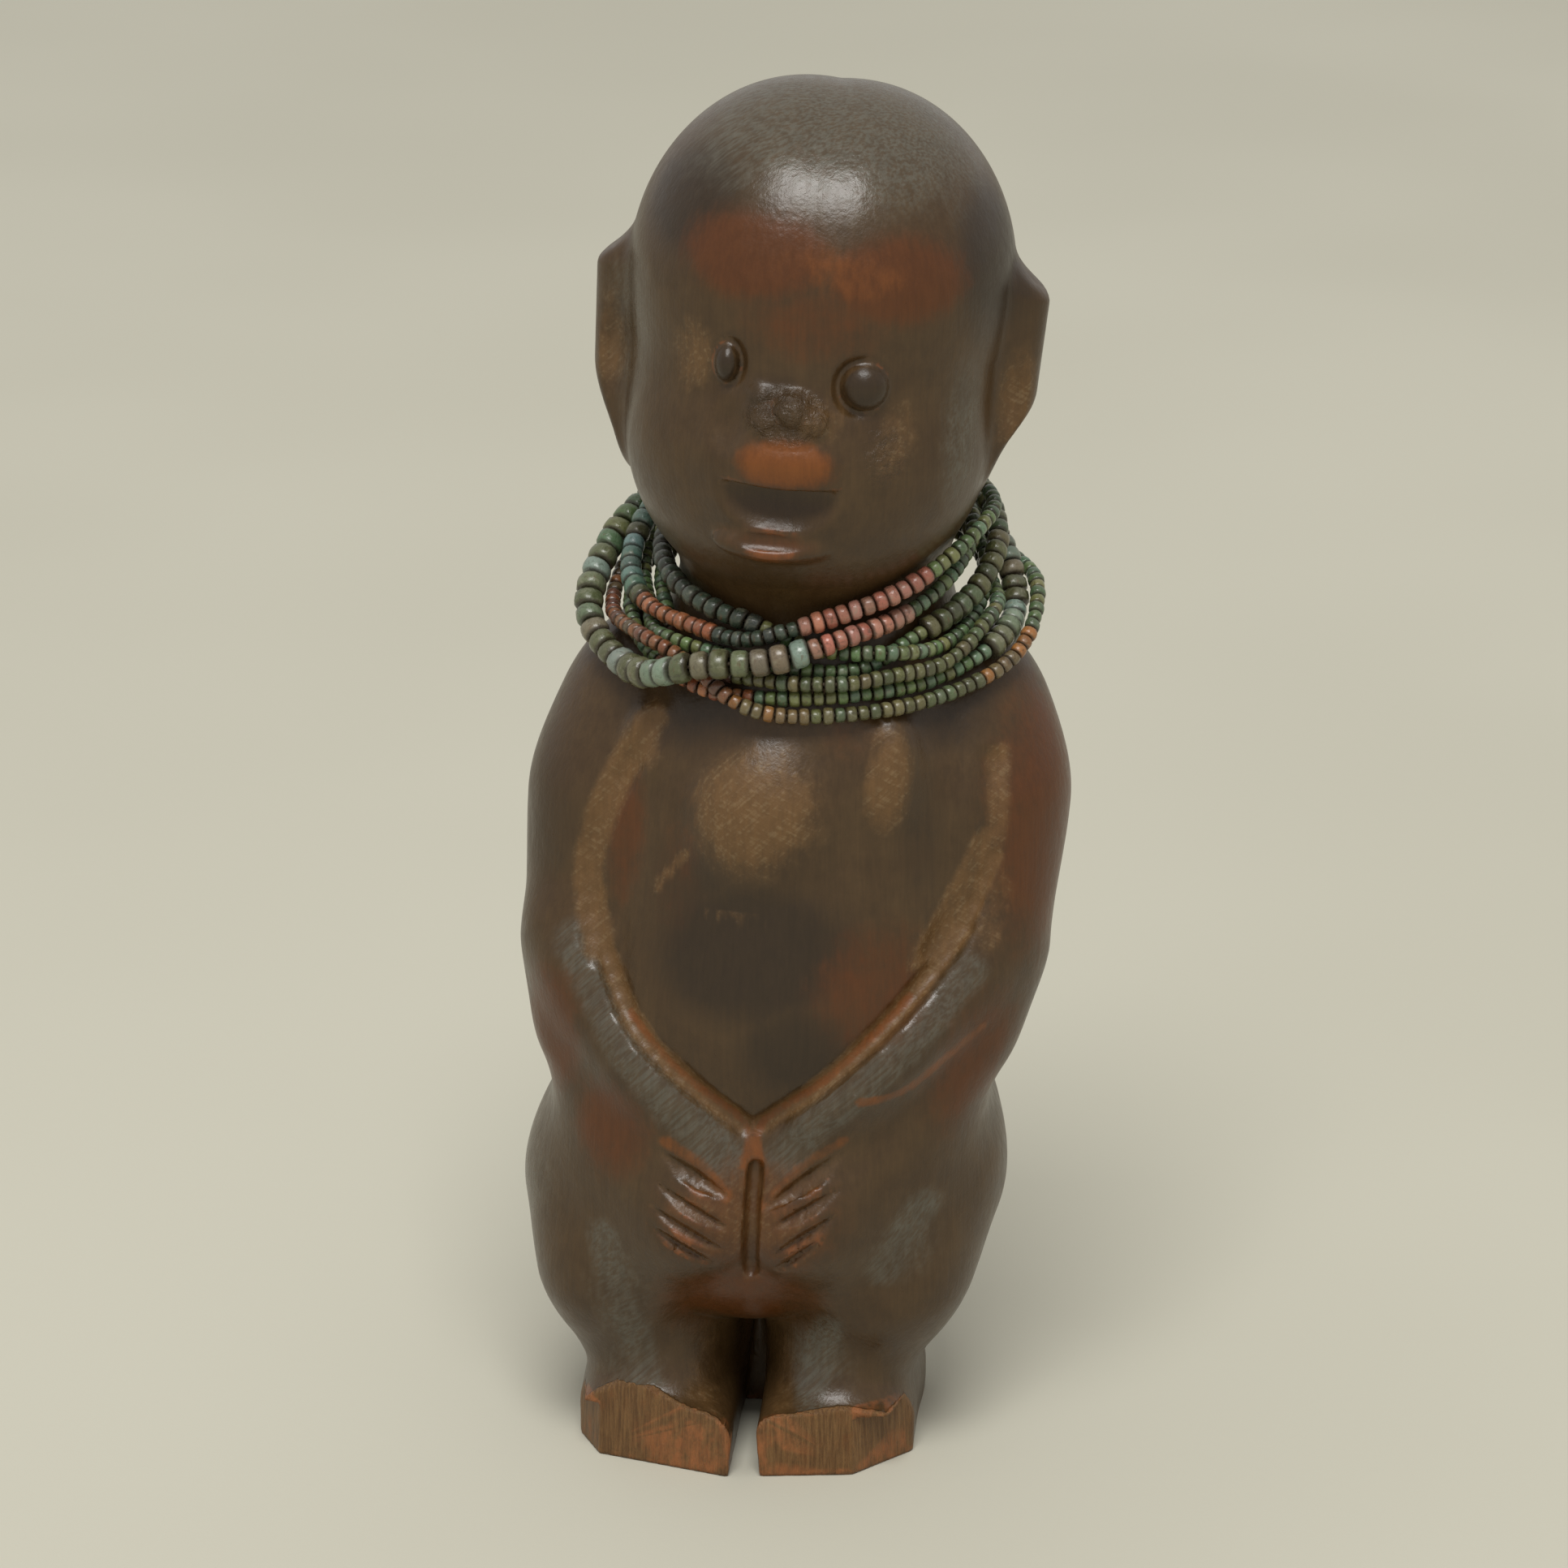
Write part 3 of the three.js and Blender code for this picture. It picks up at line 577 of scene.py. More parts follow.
def bead_mesh(centre, axis, radius, half, rng):
    """A short barrel with round shoulders and a hole, a little uneven as wound glass is."""
    reference = np.array([0, 0, 1.0]) if abs(axis[2]) < 0.8 else np.array([1.0, 0, 0])
    side = np.cross(axis, reference)
    side /= np.linalg.norm(side)
    other = np.cross(axis, side)
    turns = np.linspace(0, 2 * np.pi, BEAD_SIDES, endpoint=False)
    points = []
    rise = np.linspace(-1, 1, BEAD_RINGS)
    profile = [(-0.86, 0.28)] + [
        (math.copysign(abs(math.sin(r * math.pi / 2)) ** 0.8, r),
         0.45 + 0.55 * abs(math.cos(r * math.pi / 2)) ** 0.55)
        for r in rise
    ] + [(0.86, 0.28)]
    oval = 0.03 * np.cos(2 * turns + rng.uniform(0, 6.3))
    lumps = 1 + oval + 0.02 * np.cos(3 * turns + rng.uniform(0, 6.3))
    lean = rng.normal(0, 0.06, 2)
    for reach, share in profile:
        around = radius * share * lumps
        shift = half * reach + around * (lean[0] * np.cos(turns) + lean[1] * np.sin(turns))
        ring = (centre + np.outer(around * np.cos(turns), side) + np.outer(around * np.sin(turns), other)
                + np.outer(shift, axis))
        points.append(ring)
    rings = len(profile)
    faces = []
    for ring in range(rings - 1):
        for n in range(BEAD_SIDES):
            m = (n + 1) % BEAD_SIDES
            faces.append((ring * BEAD_SIDES + n, ring * BEAD_SIDES + m,
                          (ring + 1) * BEAD_SIDES + m, (ring + 1) * BEAD_SIDES + n))
    for n in range(BEAD_SIDES):
        m = (n + 1) % BEAD_SIDES
        last = (rings - 1) * BEAD_SIDES
        faces.append((last + n, last + m, m, n))
    return np.vstack(points), faces


THREAD_RADIUS = 0.3
THREAD_SIDES = 6


def thread_mesh(line):
    """The thread through a strand, a thin closed tube."""
    ahead = np.roll(line, -1, axis=0) - np.roll(line, 1, axis=0)
    ahead /= np.linalg.norm(ahead, axis=1)[:, None]
    side = np.cross(ahead, (0, 0, 1.0))
    side /= np.linalg.norm(side, axis=1)[:, None]
    other = np.cross(ahead, side)
    turns = np.linspace(0, 2 * np.pi, THREAD_SIDES, endpoint=False)
    rings = [line + THREAD_RADIUS * (math.cos(t) * side + math.sin(t) * other) for t in turns]
    points = np.stack(rings, axis=1).reshape(-1, 3)
    faces = []
    for ring in range(len(line)):
        following = (ring + 1) % len(line)
        for n in range(THREAD_SIDES):
            m = (n + 1) % THREAD_SIDES
            corners = (ring, n), (ring, m), (following, m), (following, n)
            faces.append(tuple(r * THREAD_SIDES + k for r, k in corners))
    return points, faces


def bead_strand(node, runs, seed):
    rng = np.random.default_rng(seed)
    line = middle_line(node)
    points = []
    faces = []
    tints = []
    ends = []
    count = 0
    for centre, axis, kind, glass in bead_places(line, runs):
        size = KINDS[kind]
        radius = size["radius"] * rng.uniform(0.9, 1.05)
        half = size["pitch"] / 2 * rng.uniform(0.92, 1.0)
        bead, sides = bead_mesh(centre, axis, radius, half, rng)
        tint = np.array(GLASS[glass][rng.integers(len(GLASS[glass]))]) * rng.uniform(0.8, 1.15)
        tint = tint * rng.uniform(0.93, 1.07, 3)
        points.append(bead)
        faces.extend(tuple(count + n for n in face) for face in sides)
        tints.append(np.tile([*tint, 1], (len(bead), 1)))
        ends.append(np.clip(np.abs((bead - centre) @ axis) / half, 0, 1))
        count += len(bead)
    bead_faces = len(faces)
    thread, sides = thread_mesh(line)
    points.append(thread)
    faces.extend(tuple(count + n for n in face) for face in sides)
    tints.append(np.ones((len(thread), 4)))
    ends.append(np.ones(len(thread)))
    strand = new_mesh(node.replace("strand", "beads"), np.vstack(points), faces)
    glass = strand.data.attributes.new("glass", "FLOAT_COLOR", "POINT")
    glass.data.foreach_set("color", np.vstack(tints).astype(np.float32).ravel())
    end = strand.data.attributes.new("end", "FLOAT", "POINT")
    end.data.foreach_set("value", np.concatenate(ends).astype(np.float32))
    strand.data.polygons.foreach_set("material_index", [0] * bead_faces + [1] * len(sides))
    return strand


# Finishes.

def material_of(name, roughness, specular=0.5):
    """A new material, its shader and a maker of nodes."""
    material = bpy.data.materials.new(name)
    material.use_nodes = True
    tree = material.node_tree
    shader = tree.nodes["Principled BSDF"]
    shader.inputs["Roughness"].default_value = roughness
    shader.inputs["Specular IOR Level"].default_value = specular
    return material, tree, shader


def put(tree, socket, value):
    """Sets a socket to a plain value, or links another node's output to it."""
    if isinstance(value, bpy.types.NodeSocket):
        tree.links.new(value, socket)
    else:
        socket.default_value = value


def calculate(tree, operation, *values, clamp=False):
    node = tree.nodes.new("ShaderNodeMath")
    node.operation = operation
    node.use_clamp = clamp
    for socket, value in zip(node.inputs, values):
        put(tree, socket, value)
    return node.outputs[0]


def product(tree, *values):
    return calculate(tree, "MULTIPLY", *values)


def total(tree, *values):
    return calculate(tree, "ADD", *values)


def attribute(tree, name, output="Fac"):
    node = tree.nodes.new("ShaderNodeAttribute")
    node.attribute_name = name
    return node.outputs[output]


def noise(tree, size, stretch=(1, 1, 1), turn=(0, 0, 0), detail=3, roughness=0.55, distortion=0.0):
    """Noise in the object's own space. size is the width of its grains in metres, before the stretch."""
    place = tree.nodes.new("ShaderNodeTexCoord")
    mapping = tree.nodes.new("ShaderNodeMapping")
    mapping.vector_type = "TEXTURE"
    mapping.inputs["Scale"].default_value = [size * s for s in stretch]
    mapping.inputs["Rotation"].default_value = turn
    texture = tree.nodes.new("ShaderNodeTexNoise")
    texture.inputs["Scale"].default_value = 1
    texture.inputs["Detail"].default_value = detail
    texture.inputs["Roughness"].default_value = roughness
    texture.inputs["Distortion"].default_value = distortion
    tree.links.new(place.outputs["Object"], mapping.inputs["Vector"])
    tree.links.new(mapping.outputs["Vector"], texture.inputs["Vector"])
    return texture.outputs["Fac"]


def ramp(tree, value, low, high, start=0.0, end=1.0):
    """A smooth step of a value from start to end."""
    node = tree.nodes.new("ShaderNodeMapRange")
    node.interpolation_type = "SMOOTHSTEP"
    for name, wanted in (("From Min", low), ("From Max", high), ("To Min", start), ("To Max", end)):
        node.inputs[name].default_value = wanted
    put(tree, node.inputs["Value"], value)
    return node.outputs["Result"]


def blend(tree, share, below, above, kind="MIX"):
    node = tree.nodes.new("ShaderNodeMix")
    node.data_type = "RGBA"
    node.blend_type = kind
    put(tree, node.inputs[0], share)
    for socket, value in ((node.inputs[6], below), (node.inputs[7], above)):
        put(tree, socket, (*value, 1) if isinstance(value, tuple) else value)
    return node.outputs[2]


def bump(tree, height, depth, strength=1.0, normal=None):
    node = tree.nodes.new("ShaderNodeBump")
    node.inputs["Strength"].default_value = strength
    node.inputs["Distance"].default_value = depth
    put(tree, node.inputs["Height"], height)
    if normal is not None:
        tree.links.new(normal, node.inputs["Normal"])
    return node.outputs["Normal"]


# Stained and worn areas of the wood, some of them painted shade and painted highlights as marked below, from
# the middle of each: place, reach each way, and strength.
# The first group is measured from the body's midline, the second in the head's own frame.
BODY_PATCHES = {
    "tan": [
        ((-4.5, -26, 103), (13.5, 12, 14), 1.1),
        ((13.6, -22, 107), (5, 10, 10.5), 1.2),
        ((-21.6, -16, 109.5), (5, 9, 5.5), 1.0),
        ((-5, -22, 14), (5, 14, 13), 0.55),
        ((5.5, -22, 14), (3.5, 14, 10), 0.5),
        ((29, -16, 86), (5, 12, 12), 0.5),
        ((0, -28, 43), (19, 10, 12), 0.5),
    ],
    "red": [
        # The red on the outer right upper arm is painted light, the side the light falls on; the other red
        # patches are stains.
        ((34, -6, 96), (14, 22, 30), 1.0),
        ((-31, -14, 66), (9, 16, 16), 1.1),
        ((-21, -22, 54), (10, 12, 12), 0.9),
        ((28, -16, 64), (12, 14, 18), 0.8),
        ((14, -24, 77), (14, 14, 14), 0.7),
        ((-1, -24, 27), (18, 16, 14), 0.85),
        ((0, -28, 42), (20, 14, 14), 0.75),
        ((-16, -26, 96), (7, 9, 22), 0.5),
        ((9, -26, 114), (9, 9, 9), 0.5),
        ((-23, -16, 96), (5, 10, 16), 0.7),
        ((14, 24, 104), (24, 14, 26), 0.7),
        ((-20, 22, 40), (16, 14, 18), 0.7),
    ],
    # Dark patches: darker patina on the back; on the front, painted shade on the belly below the chest, under
    # the necklace, beside the right arm, and down the outer left upper arm as its shaded side.
    "dark": [
        ((-4, -27, 82), (23, 14, 15), 1.2),
        ((-13, -25, 90), (11, 12, 13), 0.6),
        ((-14, -22, 119), (13, 16, 14), 0.9),
        ((4, -27, 68), (13, 12, 12), 0.8),
        ((22, -16, 116), (12, 14, 10), 0.7),
        ((20, -24, 99), (7, 10, 16), 0.6),
        ((-34, -4, 96), (9, 22, 22), 0.5),
        ((-12, 26, 66), (22, 14, 30), 0.7),
        ((14, 22, 30), (16, 14, 20), 0.6),
    ],
    # Painted highlights on the knees, the shins and the outer left hip; the same mask also lowers the
    # roughness there.
    "polish_and_painted_sheen": [
        ((-18, -22, 28), (9, 12, 14), 0.6),
        ((-17, -20, 15), (9, 14, 9), 0.6),
        ((21, -20, 36), (10, 12, 9), 0.6),
        ((11, -20, 16), (9, 14, 11), 0.6),
        ((-32, -6, 40), (10, 16, 14), 0.6),
    ],
}
HEAD_PATCHES = {
    "tan": [
        ((29, -3, -4), (4.5, 9, 12), 0.9),
        ((-29, -3, -1), (4.5, 9, 12), 0.7),
        ((14, -23, -5), (5, 8, 9), 0.5),
        ((-15, -22, 4), (6, 8, 8), 0.6),
        ((4, -26, -2), (5, 7, 6), 0.5),
    ],
    "red": [
        ((-7, -22, 19), (16, 14, 9), 1.25),
        ((12, -20, 17), (15, 16, 9), 1.25),
        ((2, -24, 11), (16, 10, 9), 0.6),
        ((-0.5, -27, -8.6), (10, 7, 5.6), 1.0),
        ((-2, -25, -21), (10, 6, 5), 0.5),
    ],
    "orange": [
        ((-0.5, -28, -8.4), (9.6, 6, 4.9), 1.35),
        ((6, -24, 18), (20, 12, 6), 0.45),
        # The orange along the lower rim of the lower lip is a painted highlight.
        ((-3, -25, -22.6), (8, 5, 2.2), 0.4),
    ],
    # Dark patches: painted shade in the eye grooves, the mouth recess and under the chin; the others, on the
    # upper sides of the head, beside the nose and at the back, are darker patina.
    "dark": [
        ((-17, -14, 24), (14, 18, 12), 1.0),
        ((26, -8, 19), (12, 18, 18), 1.1),
        ((8.9, -24, 2.4), (6.4, 6, 6.2), 0.8),
        ((-9.7, -24, 3.9), (4.8, 6, 5.4), 0.8),
        ((-3, -25, 0), (8, 6, 6), 0.5),
        ((-1.5, -26, -14.5), (11, 8, 4), 0.5),
        ((0, -20, -27), (22, 16, 6), 0.3),
        ((10, 26, 14), (22, 16, 26), 0.7),
    ],
    # Painted highlights and reflections on the top of the head, the sides of the face and the lower lip; the
    # same mask also lowers the roughness there.
    "polish_and_painted_sheen": [
        ((2, -6, 36), (34, 32, 22), 1.3),
        ((-25, -6, 4), (10, 18, 22), 0.6),
        ((22, -14, -6), (5, 12, 16), 0.7),
        ((-2, -27, -20.4), (7, 4, 2.6), 0.3),
    ],
    "rough": [((-1, -26, -2), (8, 7, 5.6), 1.4), ((12, -22, -7), (6, 8, 8), 0.6)],
}
# Narrow lines, drawn on the front view from the midline: kind, line, half width and strength. The tan and
# orange lines are worn wood; the sheen lines are painted highlights along the forearm crests, the thighs and
# the shins.
WEAR_AND_PAINTED_SHEEN_LINES = [
    ("polish_and_painted_sheen", [(-29, 80), (-22.6, 70.4), (-15.4, 61.6), (-8.4, 55), (-4, 50)], 5, 0.85),
    ("polish_and_painted_sheen", [(27, 78), (20.6, 69.6), (13.8, 62.4), (7.6, 56.6), (4, 51.5)], 4.6, 0.85),
    ("polish_and_painted_sheen", [(-21, 36), (-18.6, 28), (-15.6, 18), (-14, 11)], 4.4, 0.8),
    ("polish_and_painted_sheen", [(24, 42), (19.6, 33)], 4.4, 0.8),
    ("polish_and_painted_sheen", [(12, 22), (10, 12)], 4.2, 0.9),
    ("tan", LEFT_ARM_CREASE, 3.4, 1.1),
    ("tan", RIGHT_ARM_CREASE, 2.6, 0.8),
    ("tan", [(27.6, 97), (24, 88), (20, 80)], 2.6, 0.9),
    ("tan", LEFT_BELLY_EDGE, 2.1, 1.2),
    ("tan", RIGHT_BELLY_EDGE, 2.1, 1.2),
    ("orange", [(-20, 71), (-11.5, 63), (-2.2, 55.6), (-1.6, 50)], 1.0, 0.7),
    ("orange", [(19, 74.4), (9, 63.7), (0.2, 55.7), (0.6, 50)], 1.1, 0.8),
    ("orange", [(29.6, 69), (25, 65.4), (20, 61.8), (14, 61)], 1.3, 0.75),
    ("orange", [(-13, 53.4), (-8, 50.4), (-3.5, 46)], 1.6, 0.7),
    ("orange", [(12, 54.4), (7, 50.8), (3, 46)], 1.4, 0.55),
    ("tan", [(-14, 95.5), (-18, 89.5)], 1.2, 0.7),
    ("tan", [(-10, 87.6), (-1, 87.2)], 1.0, 0.4),
]


def smooth(share):
    share = np.clip(share, 0, 1)
    return share * share * (3 - 2 * share)


def in_patches(places, patches):
    """How far each point lies in the strongest of some soft egg-shaped patches."""
    strongest = np.zeros(len(places))
    for centre, reach, strength in patches:
        near = 1 - np.sqrt((((places - centre) / reach) ** 2).sum(axis=1))
        strongest = np.maximum(strongest, strength * smooth(near * 1.25))
    return strongest


def near_line(places, line, half_width):
    """How close points of the front lie to a line drawn on the front view."""
    corners = smooth_line(line, 4 * len(line))
    nearest = np.full(len(places), 1e3)
    flat = places[:, [0, 2]]
    for a, b in zip(corners, corners[1:]):
        t = np.clip(((flat - a) @ (b - a)) / ((b - a) @ (b - a)), 0, 1)
        nearest = np.minimum(nearest, np.linalg.norm(flat - a - t[:, None] * (b - a), axis=1))
    return smooth(1.4 - 1.4 * nearest / half_width) * (places[:, 1] < -6)


def add_wear_and_painted_light(piece, shape):
    """Writes how each point of the wood is stained and worn, and where shade and highlights are painted on
    it, for its material to read.
    """
    mesh = piece.data
    points = np.zeros(len(mesh.vertices) * 3)
    mesh.vertices.foreach_get("co", points)
    points = points.reshape(-1, 3) / MM
    body = points - np.stack([midline(points[:, 2]), 0 * points[:, 2], 0 * points[:, 2]], axis=1)
    turn = Matrix.Rotation(math.radians(HEAD_YAW), 3, "Z") @ Matrix.Rotation(math.radians(HEAD_ROLL), 3, "Y")
    skull = (points - HEAD_CENTRE) @ np.array(turn)
    painted_light_and_wear = {}
    for kind in ("tan", "red", "orange", "dark", "polish_and_painted_sheen", "rough"):
        painted_light_and_wear[kind] = np.maximum(
            in_patches(body, BODY_PATCHES.get(kind, [])) * (points[:, 2] < 134),
            in_patches(skull, HEAD_PATCHES.get(kind, [])) * (points[:, 2] >= 134),
        )
    on_body = points[:, 2] < 134
    for kind, line, half_width, strength in WEAR_AND_PAINTED_SHEEN_LINES:
        painted_light_and_wear[kind] = np.maximum(painted_light_and_wear[kind], strength * on_body * near_line(body, line, half_width))
    slope = slope_of(shape, points)
    slope /= np.maximum(np.linalg.norm(slope, axis=1), 1e-6)[:, None]
    above = shape(*(points + slope * 1.6).T) / 1.6
    below = -shape(*(points - slope * 1.1).T) / 1.1
    painted_light_and_wear["hollow"] = smooth((0.97 - above) * 2.2)
    painted_light_and_wear["edge"] = smooth((0.92 - below) * 2.0)
    feet = [foot_face(*face)(*points.T) for face in FOOT_FACES]
    painted_light_and_wear["sawn"] = smooth(1.6 - 2.2 * np.abs(np.min(feet, axis=0))) * (points[:, 2] < SAWN_TOP)
    for name, values in painted_light_and_wear.items():
        layer = mesh.attributes.new(name, "FLOAT", "POINT")
        layer.data.foreach_set("value", values.astype(np.float32))


# Colours of the wood, with a grey for painted sheen, and a dark that serves both darker patina and painted
# shade.
WOOD = {
    "brown": (0.054, 0.029, 0.0105),
    "light brown": (0.07, 0.039, 0.0145),
    # Darker patina, and also painted shade where the dark patches lie in hollows, under overhangs and on
    # shaded sides.
    "dark": (0.025, 0.0145, 0.0065),
    # Painted sheen: a grey that stands in for highlights and reflections on the glossy tops.
    "painted sheen grey": (0.105, 0.097, 0.075),
    "red": (0.09, 0.0265, 0.0042),
    "tan": (0.14, 0.072, 0.024),
    "scratch": (0.27, 0.19, 0.1),
    "orange": (0.165, 0.05, 0.007),
    "dust": (0.1, 0.055, 0.022),
    "edge": (0.2, 0.062, 0.016),
    "dark fibre": (0.11, 0.05, 0.0145),
    "light fibre": (0.2, 0.105, 0.036),
    "stained fibre": (0.16, 0.062, 0.016),
    "sawn edge": (0.3, 0.11, 0.035),
}


def wood_material():
    material, tree, shader = material_of("patinated wood", 0.36, 0.42)
    cloud = noise(tree, 0.006, detail=5, roughness=0.62)
    fleck = noise(tree, 0.0013, stretch=(1, 1, 2.2), detail=4, roughness=0.6)
    grain = noise(tree, 0.0006, stretch=(1, 1, 22), detail=4, roughness=0.6, distortion=0.4)
    fibres = noise(tree, 0.00035, stretch=(1, 1, 26), detail=4, roughness=0.65)
    rubs = noise(tree, 0.0005, stretch=(16, 1, 1), turn=(0, 0.5, 0.2), detail=3)
    marks = noise(tree, 0.00045, stretch=(18, 1, 1), turn=(0, -0.75, 0.1), detail=2)
    lumps = noise(tree, 0.0011, detail=4, roughness=0.65, distortion=0.6)
    breakup = total(tree, product(tree, cloud, 0.62), product(tree, fleck, 0.38))
    shift = product(tree, calculate(tree, "SUBTRACT", breakup, 0.5), 1.5)

    def patchy(kind, low, high, most=1.0):
        """The share of one kind of mark, its edges broken up by the noise; the kinds include wear, stains,
        painted shade and painted highlights.
        """
        mask = attribute(tree, kind)
        loose = total(tree, mask, product(tree, shift, ramp(tree, mask, 0.02, 0.3)))
        return ramp(tree, loose, low, high, 0, most)

    def over(below, share, above):
        return blend(tree, share, below, WOOD[above])

    colour = blend(tree, ramp(tree, cloud, 0.3, 0.7), WOOD["brown"], WOOD["light brown"])
    # Dark patches: partly darker patina, partly painted shade in hollows, under overhangs and on shaded
    # sides.
    colour = over(colour, patchy("dark", 0.05, 0.9, 0.85), "dark")
    # Painted sheen: grey streaks where the glossy tops catch the light.
    painted_sheen_streaks = product(tree, patchy("polish_and_painted_sheen", 0.1, 1.1, 0.85), ramp(tree, marks, 0.35, 0.65, 0.35, 1))
    colour = over(colour, painted_sheen_streaks, "painted sheen grey")
    # Red patches are stains, except the painted light on the outer right upper arm.
    colour = over(colour, patchy("red", 0.05, 0.95, 0.9), "red")
    colour = over(colour, patchy("tan", 0.1, 1.05, 0.85), "tan")
    rub_marks = ramp(tree, product(tree, rubs, marks), 0.24, 0.42, 0, 0.3)
    colour = over(colour, product(tree, patchy("tan", 0.1, 0.8), rub_marks), "scratch")
    colour = over(colour, patchy("orange", 0.15, 1.0, 0.95), "orange")
    dust_share = ramp(tree, fleck, 0.35, 0.6, 0, 0.45)
    dusty = product(tree, ramp(tree, attribute(tree, "hollow"), 0.2, 0.9), dust_share)
    colour = over(colour, dusty, "dust")
    worn_edge = product(tree, ramp(tree, attribute(tree, "edge"), 0.25, 0.8), ramp(tree, breakup, 0.38, 0.6))
    colour = over(colour, product(tree, worn_edge, 0.65), "edge")
    sawn = attribute(tree, "sawn")
    raw = blend(tree, ramp(tree, fibres, 0.32, 0.68), WOOD["dark fibre"], WOOD["light fibre"])
    raw = over(raw, ramp(tree, breakup, 0.52, 0.68, 0, 0.6), "stained fibre")
    raw = over(raw, worn_edge, "sawn edge")
    colour = blend(tree, ramp(tree, sawn, 0.35, 0.65), colour, raw)
    streaks = total(tree, product(tree, grain, 0.6), product(tree, fleck, 0.4))
    tone = tree.nodes.new("ShaderNodeCombineColor")
    for socket in tone.inputs:
        put(tree, socket, ramp(tree, streaks, 0.36, 0.64, 0.91, 1.09))
    colour = blend(tree, 1.0, colour, tone.outputs[0], "MULTIPLY")
    tree.links.new(colour, shader.inputs["Base Color"])

    polish = patchy("polish_and_painted_sheen", 0.1, 0.8)
    dry = calculate(tree, "MAXIMUM", patchy("tan", 0.2, 0.9), product(tree, sawn, 1.4), clamp=True)
    rough = total(tree, ramp(tree, fleck, 0.3, 0.7, 0.25, 0.34), product(tree, polish, -0.06))
    rough = total(tree, rough, product(tree, dry, 0.14))
    rough = total(tree, rough, product(tree, rubs, 0.06))
    tree.links.new(rough, shader.inputs["Roughness"])

    marked = product(tree, total(tree, rubs, marks), ramp(tree, dry, 0, 1, 0.35, 1))
    lumpy = product(tree, lumps, ramp(tree, attribute(tree, "rough"), 0.1, 0.8))
    sawn_fibres = product(tree, fibres, ramp(tree, sawn, 0.2, 0.7))
    normal = bump(tree, cloud, 0.0005, 0.4)
    normal = bump(tree, grain, 0.0001, 0.35, normal)
    normal = bump(tree, marked, 0.00012, 0.5, normal)
    normal = bump(tree, lumpy, 0.0009, 0.8, normal)
    normal = bump(tree, sawn_fibres, 0.0006, 0.8, normal)
    tree.links.new(normal, shader.inputs["Normal"])
    return material


# Colours of old glass, by the look of each kind of bead.
GLASS = {
    "sea": [
        (0.14, 0.18, 0.11), (0.12, 0.13, 0.07), (0.16, 0.13, 0.08), (0.19, 0.25, 0.19), (0.10, 0.11, 0.05),
    ],
    "pink": [(0.40, 0.15, 0.10), (0.34, 0.12, 0.075), (0.37, 0.17, 0.12)],
    "coral": [(0.31, 0.10, 0.038), (0.36, 0.13, 0.055), (0.24, 0.07, 0.028)],
    "leaf": [
        (0.09, 0.15, 0.055), (0.13, 0.18, 0.065), (0.07, 0.11, 0.05), (0.16, 0.17, 0.06), (0.11, 0.18, 0.10),
    ],
    "olive": [(0.10, 0.10, 0.035), (0.13, 0.115, 0.045), (0.07, 0.08, 0.03), (0.08, 0.11, 0.05)],
    "turquoise": [(0.14, 0.25, 0.21), (0.10, 0.17, 0.13), (0.09, 0.10, 0.05), (0.17, 0.27, 0.24)],
    "night": [(0.035, 0.055, 0.035), (0.055, 0.075, 0.055), (0.03, 0.04, 0.03)],
    "rust": [(0.17, 0.055, 0.022), (0.20, 0.08, 0.03), (0.12, 0.05, 0.03), (0.09, 0.06, 0.03)],
    "amber": [(0.28, 0.12, 0.03), (0.22, 0.09, 0.02), (0.14, 0.10, 0.04)],
}


def glass_material(name):
    material, tree, shader = material_of(name, 0.3)
    own = attribute(tree, "glass", "Color")
    mottle = noise(tree, 0.0011, detail=4, roughness=0.65, distortion=0.8)
    streaks = noise(tree, 0.0006, stretch=(1, 1, 3), detail=3)
    pale = blend(tree, ramp(tree, mottle, 0.52, 0.72, 0, 0.45), own, (0.26, 0.25, 0.17))
    dull = ramp(tree, calculate(tree, "SUBTRACT", 1.0, mottle), 0.52, 0.7, 0, 0.5)
    colour = blend(tree, dull, pale, (0.035, 0.03, 0.018))
    colour = blend(tree, ramp(tree, streaks, 0.6, 0.72, 0, 0.5), colour, (0.10, 0.05, 0.02))
    # Painted shade: each bead darkens towards its ends, where it meets the next bead.
    colour = blend(tree, ramp(tree, attribute(tree, "end"), 0.55, 0.95, 0, 0.8), colour, (0.03, 0.02, 0.012))
    tree.links.new(colour, shader.inputs["Base Color"])
    tree.links.new(ramp(tree, mottle, 0.35, 0.65, 0.2, 0.46), shader.inputs["Roughness"])
    shader.inputs["Coat Weight"].default_value = 0.35
    shader.inputs["Coat Roughness"].default_value = 0.16
    normal = bump(tree, mottle, 0.0003, 0.45)
    normal = bump(tree, streaks, 0.00012, 0.5, normal)
    tree.links.new(normal, shader.inputs["Normal"])
    return material


def thread_material():
    material, tree, shader = material_of("waxed thread", 0.8)
    strand = noise(tree, 0.0003, stretch=(1, 1, 2), detail=3)
    tree.links.new(blend(tree, strand, (0.03, 0.02, 0.012), (0.10, 0.07, 0.04)), shader.inputs["Base Color"])
    tree.links.new(bump(tree, strand, 0.0001, 0.6), shader.inputs["Normal"])
    return material


def paper_material():
    material, tree, shader = material_of("floor paper", 0.8, 0.3)
    tooth = noise(tree, 0.0006, detail=3)
    broad = noise(tree, 0.25, detail=2)
    colour = blend(tree, ramp(tree, broad, 0.3, 0.7), (0.545, 0.53, 0.44), (0.575, 0.56, 0.468))
    tree.links.new(colour, shader.inputs["Base Color"])
    tree.links.new(bump(tree, tooth, 0.00005, 0.3), shader.inputs["Normal"])
    return material


# Camera, floor and light.
PHOTO_SIDE = 1932
FOCAL_PIXELS = 6880
SENSOR = 36
AIM = (-1.4, 0, 98)
CAMERA_DISTANCE = 800
CAMERA_AZIMUTH = 5
CAMERA_ELEVATION = 20


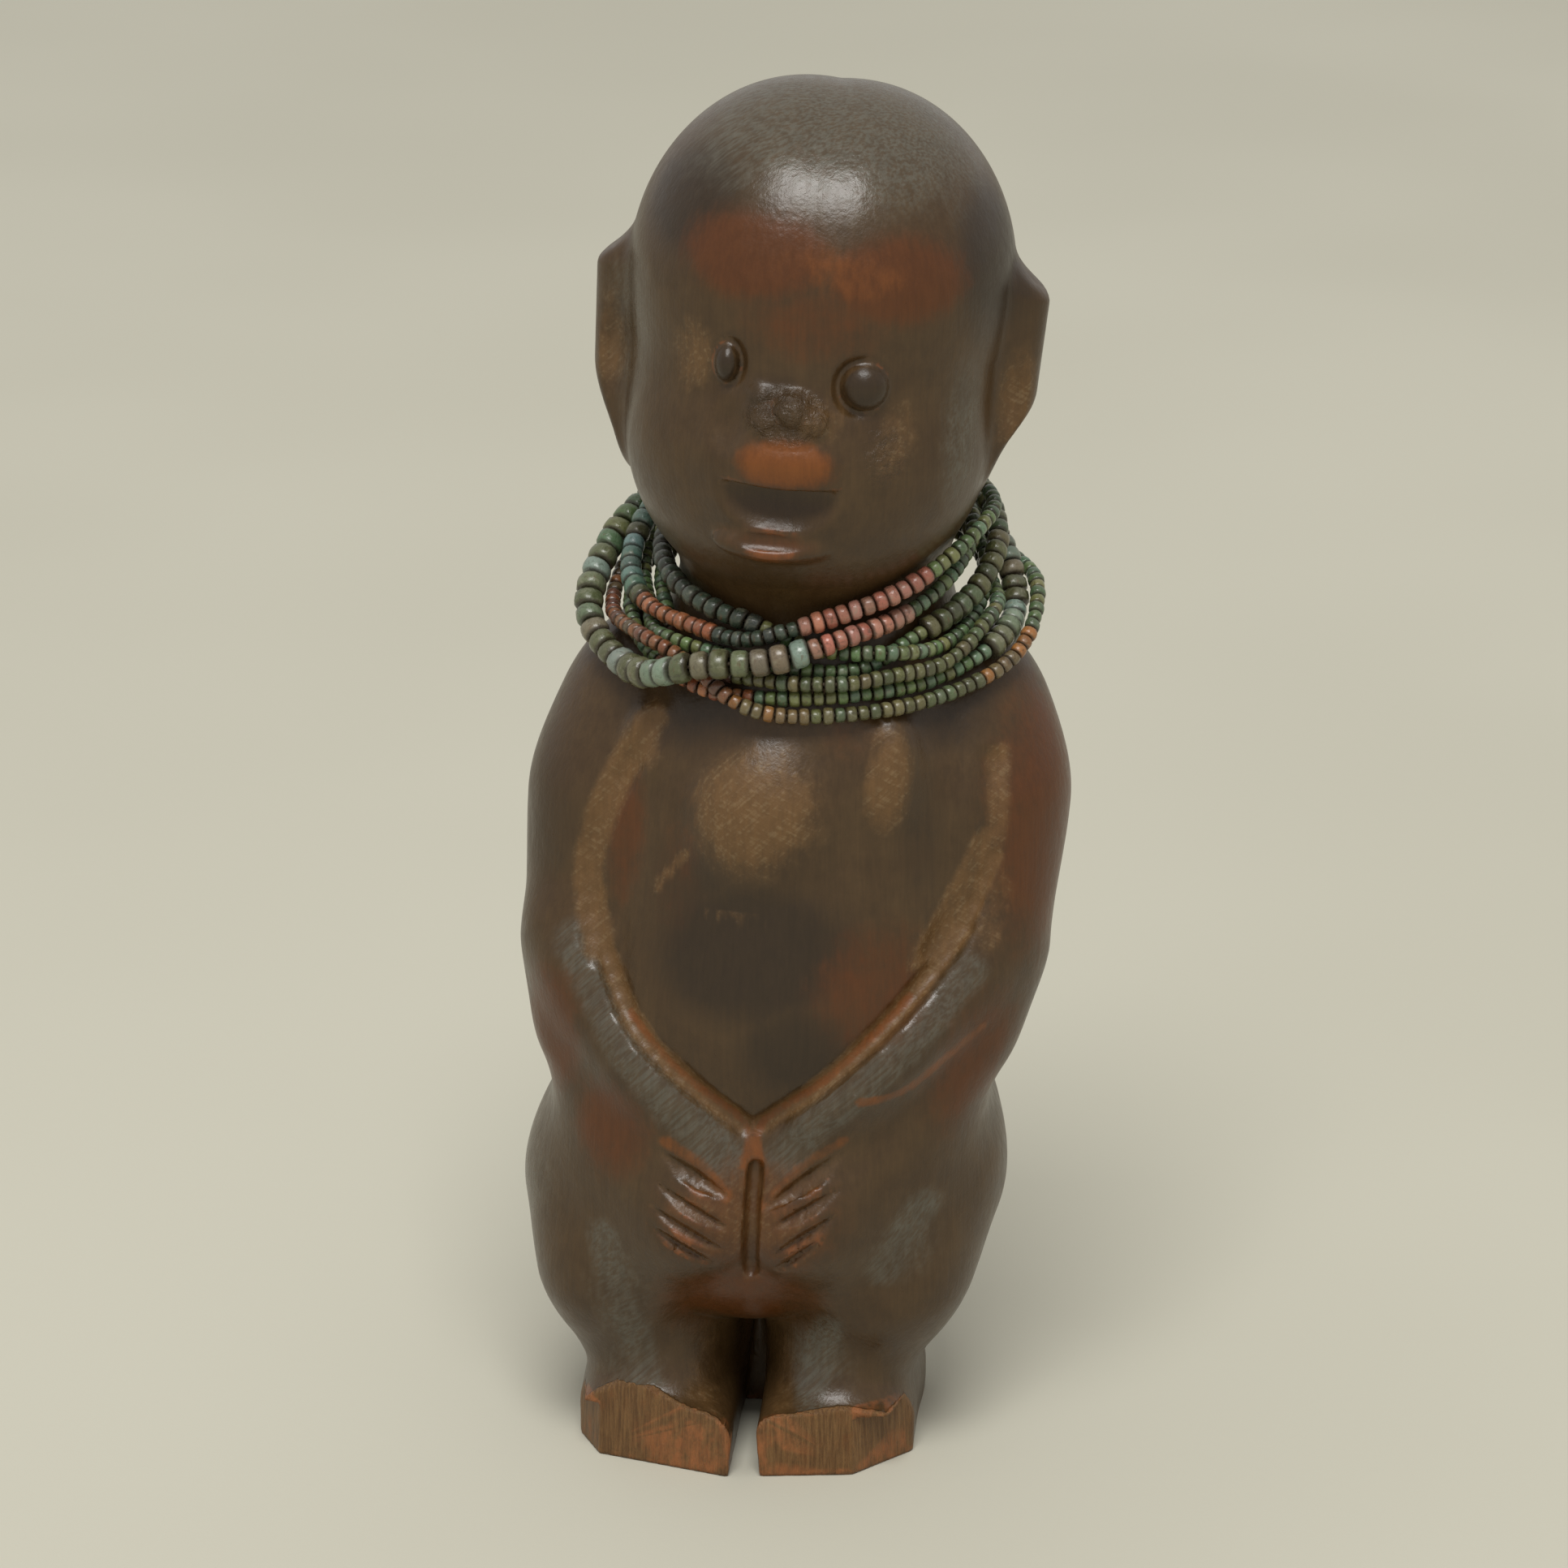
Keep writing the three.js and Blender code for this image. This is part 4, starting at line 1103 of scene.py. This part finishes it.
def direction(azimuth, elevation):
    """The way from the figure towards something seen at an azimuth and elevation."""
    turn, rise = math.radians(azimuth), math.radians(elevation)
    return Vector((math.sin(turn) * math.cos(rise), -math.cos(turn) * math.cos(rise), math.sin(rise)))


def add_camera():
    data = bpy.data.cameras.new("camera")
    data.sensor_width = SENSOR
    data.lens = SENSOR * FOCAL_PIXELS / PHOTO_SIDE
    camera = bpy.data.objects.new("camera", data)
    bpy.context.scene.collection.objects.link(camera)
    away = direction(CAMERA_AZIMUTH, CAMERA_ELEVATION)
    camera.location = (Vector(AIM) + away * CAMERA_DISTANCE) * MM
    camera.rotation_euler = away.to_track_quat("Z", "Y").to_euler()
    bpy.context.scene.camera = camera


def add_floor():
    bpy.ops.mesh.primitive_plane_add(size=8, location=(0, 1.5, 0))
    floor = bpy.context.object
    floor.name = "floor"
    floor.data.materials.append(paper_material())


def add_light(name, azimuth, elevation, distance, size, power, colour):
    data = bpy.data.lights.new(name, "AREA")
    data.shape = "RECTANGLE"
    data.size, data.size_y = size
    data.energy = power
    data.color = colour
    light = bpy.data.objects.new(name, data)
    bpy.context.scene.collection.objects.link(light)
    away = direction(azimuth, elevation)
    light.location = Vector(AIM) * MM + away * distance
    light.rotation_euler = away.to_track_quat("Z", "Y").to_euler()


def add_lights():
    world = bpy.data.worlds.new("pale room")
    bpy.context.scene.world = world
    world.use_nodes = True
    background = world.node_tree.nodes["Background"]
    background.inputs["Color"].default_value = (1.0, 0.98, 0.94, 1)
    background.inputs["Strength"].default_value = 0.56
    add_light("overhead", 0, 63, 2.6, (1.3, 0.95), 46, (1.0, 0.99, 0.97))


add_camera()
add_floor()
add_lights()
bpy.context.scene.view_settings.view_transform = "Standard"

wood, wood_shape = wood_figure()
add_wear_and_painted_light(wood, wood_shape)
wood.data.materials.append(wood_material())
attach(wood, "root")
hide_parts(WOOD_NODE)

thread = thread_material()
for seed, (node, runs) in enumerate(STRANDS.items()):
    strand = bead_strand(node, runs, seed)
    strand.data.materials.append(glass_material("glass of " + node))
    strand.data.materials.append(thread)
    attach(strand, "root")
    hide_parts(node)
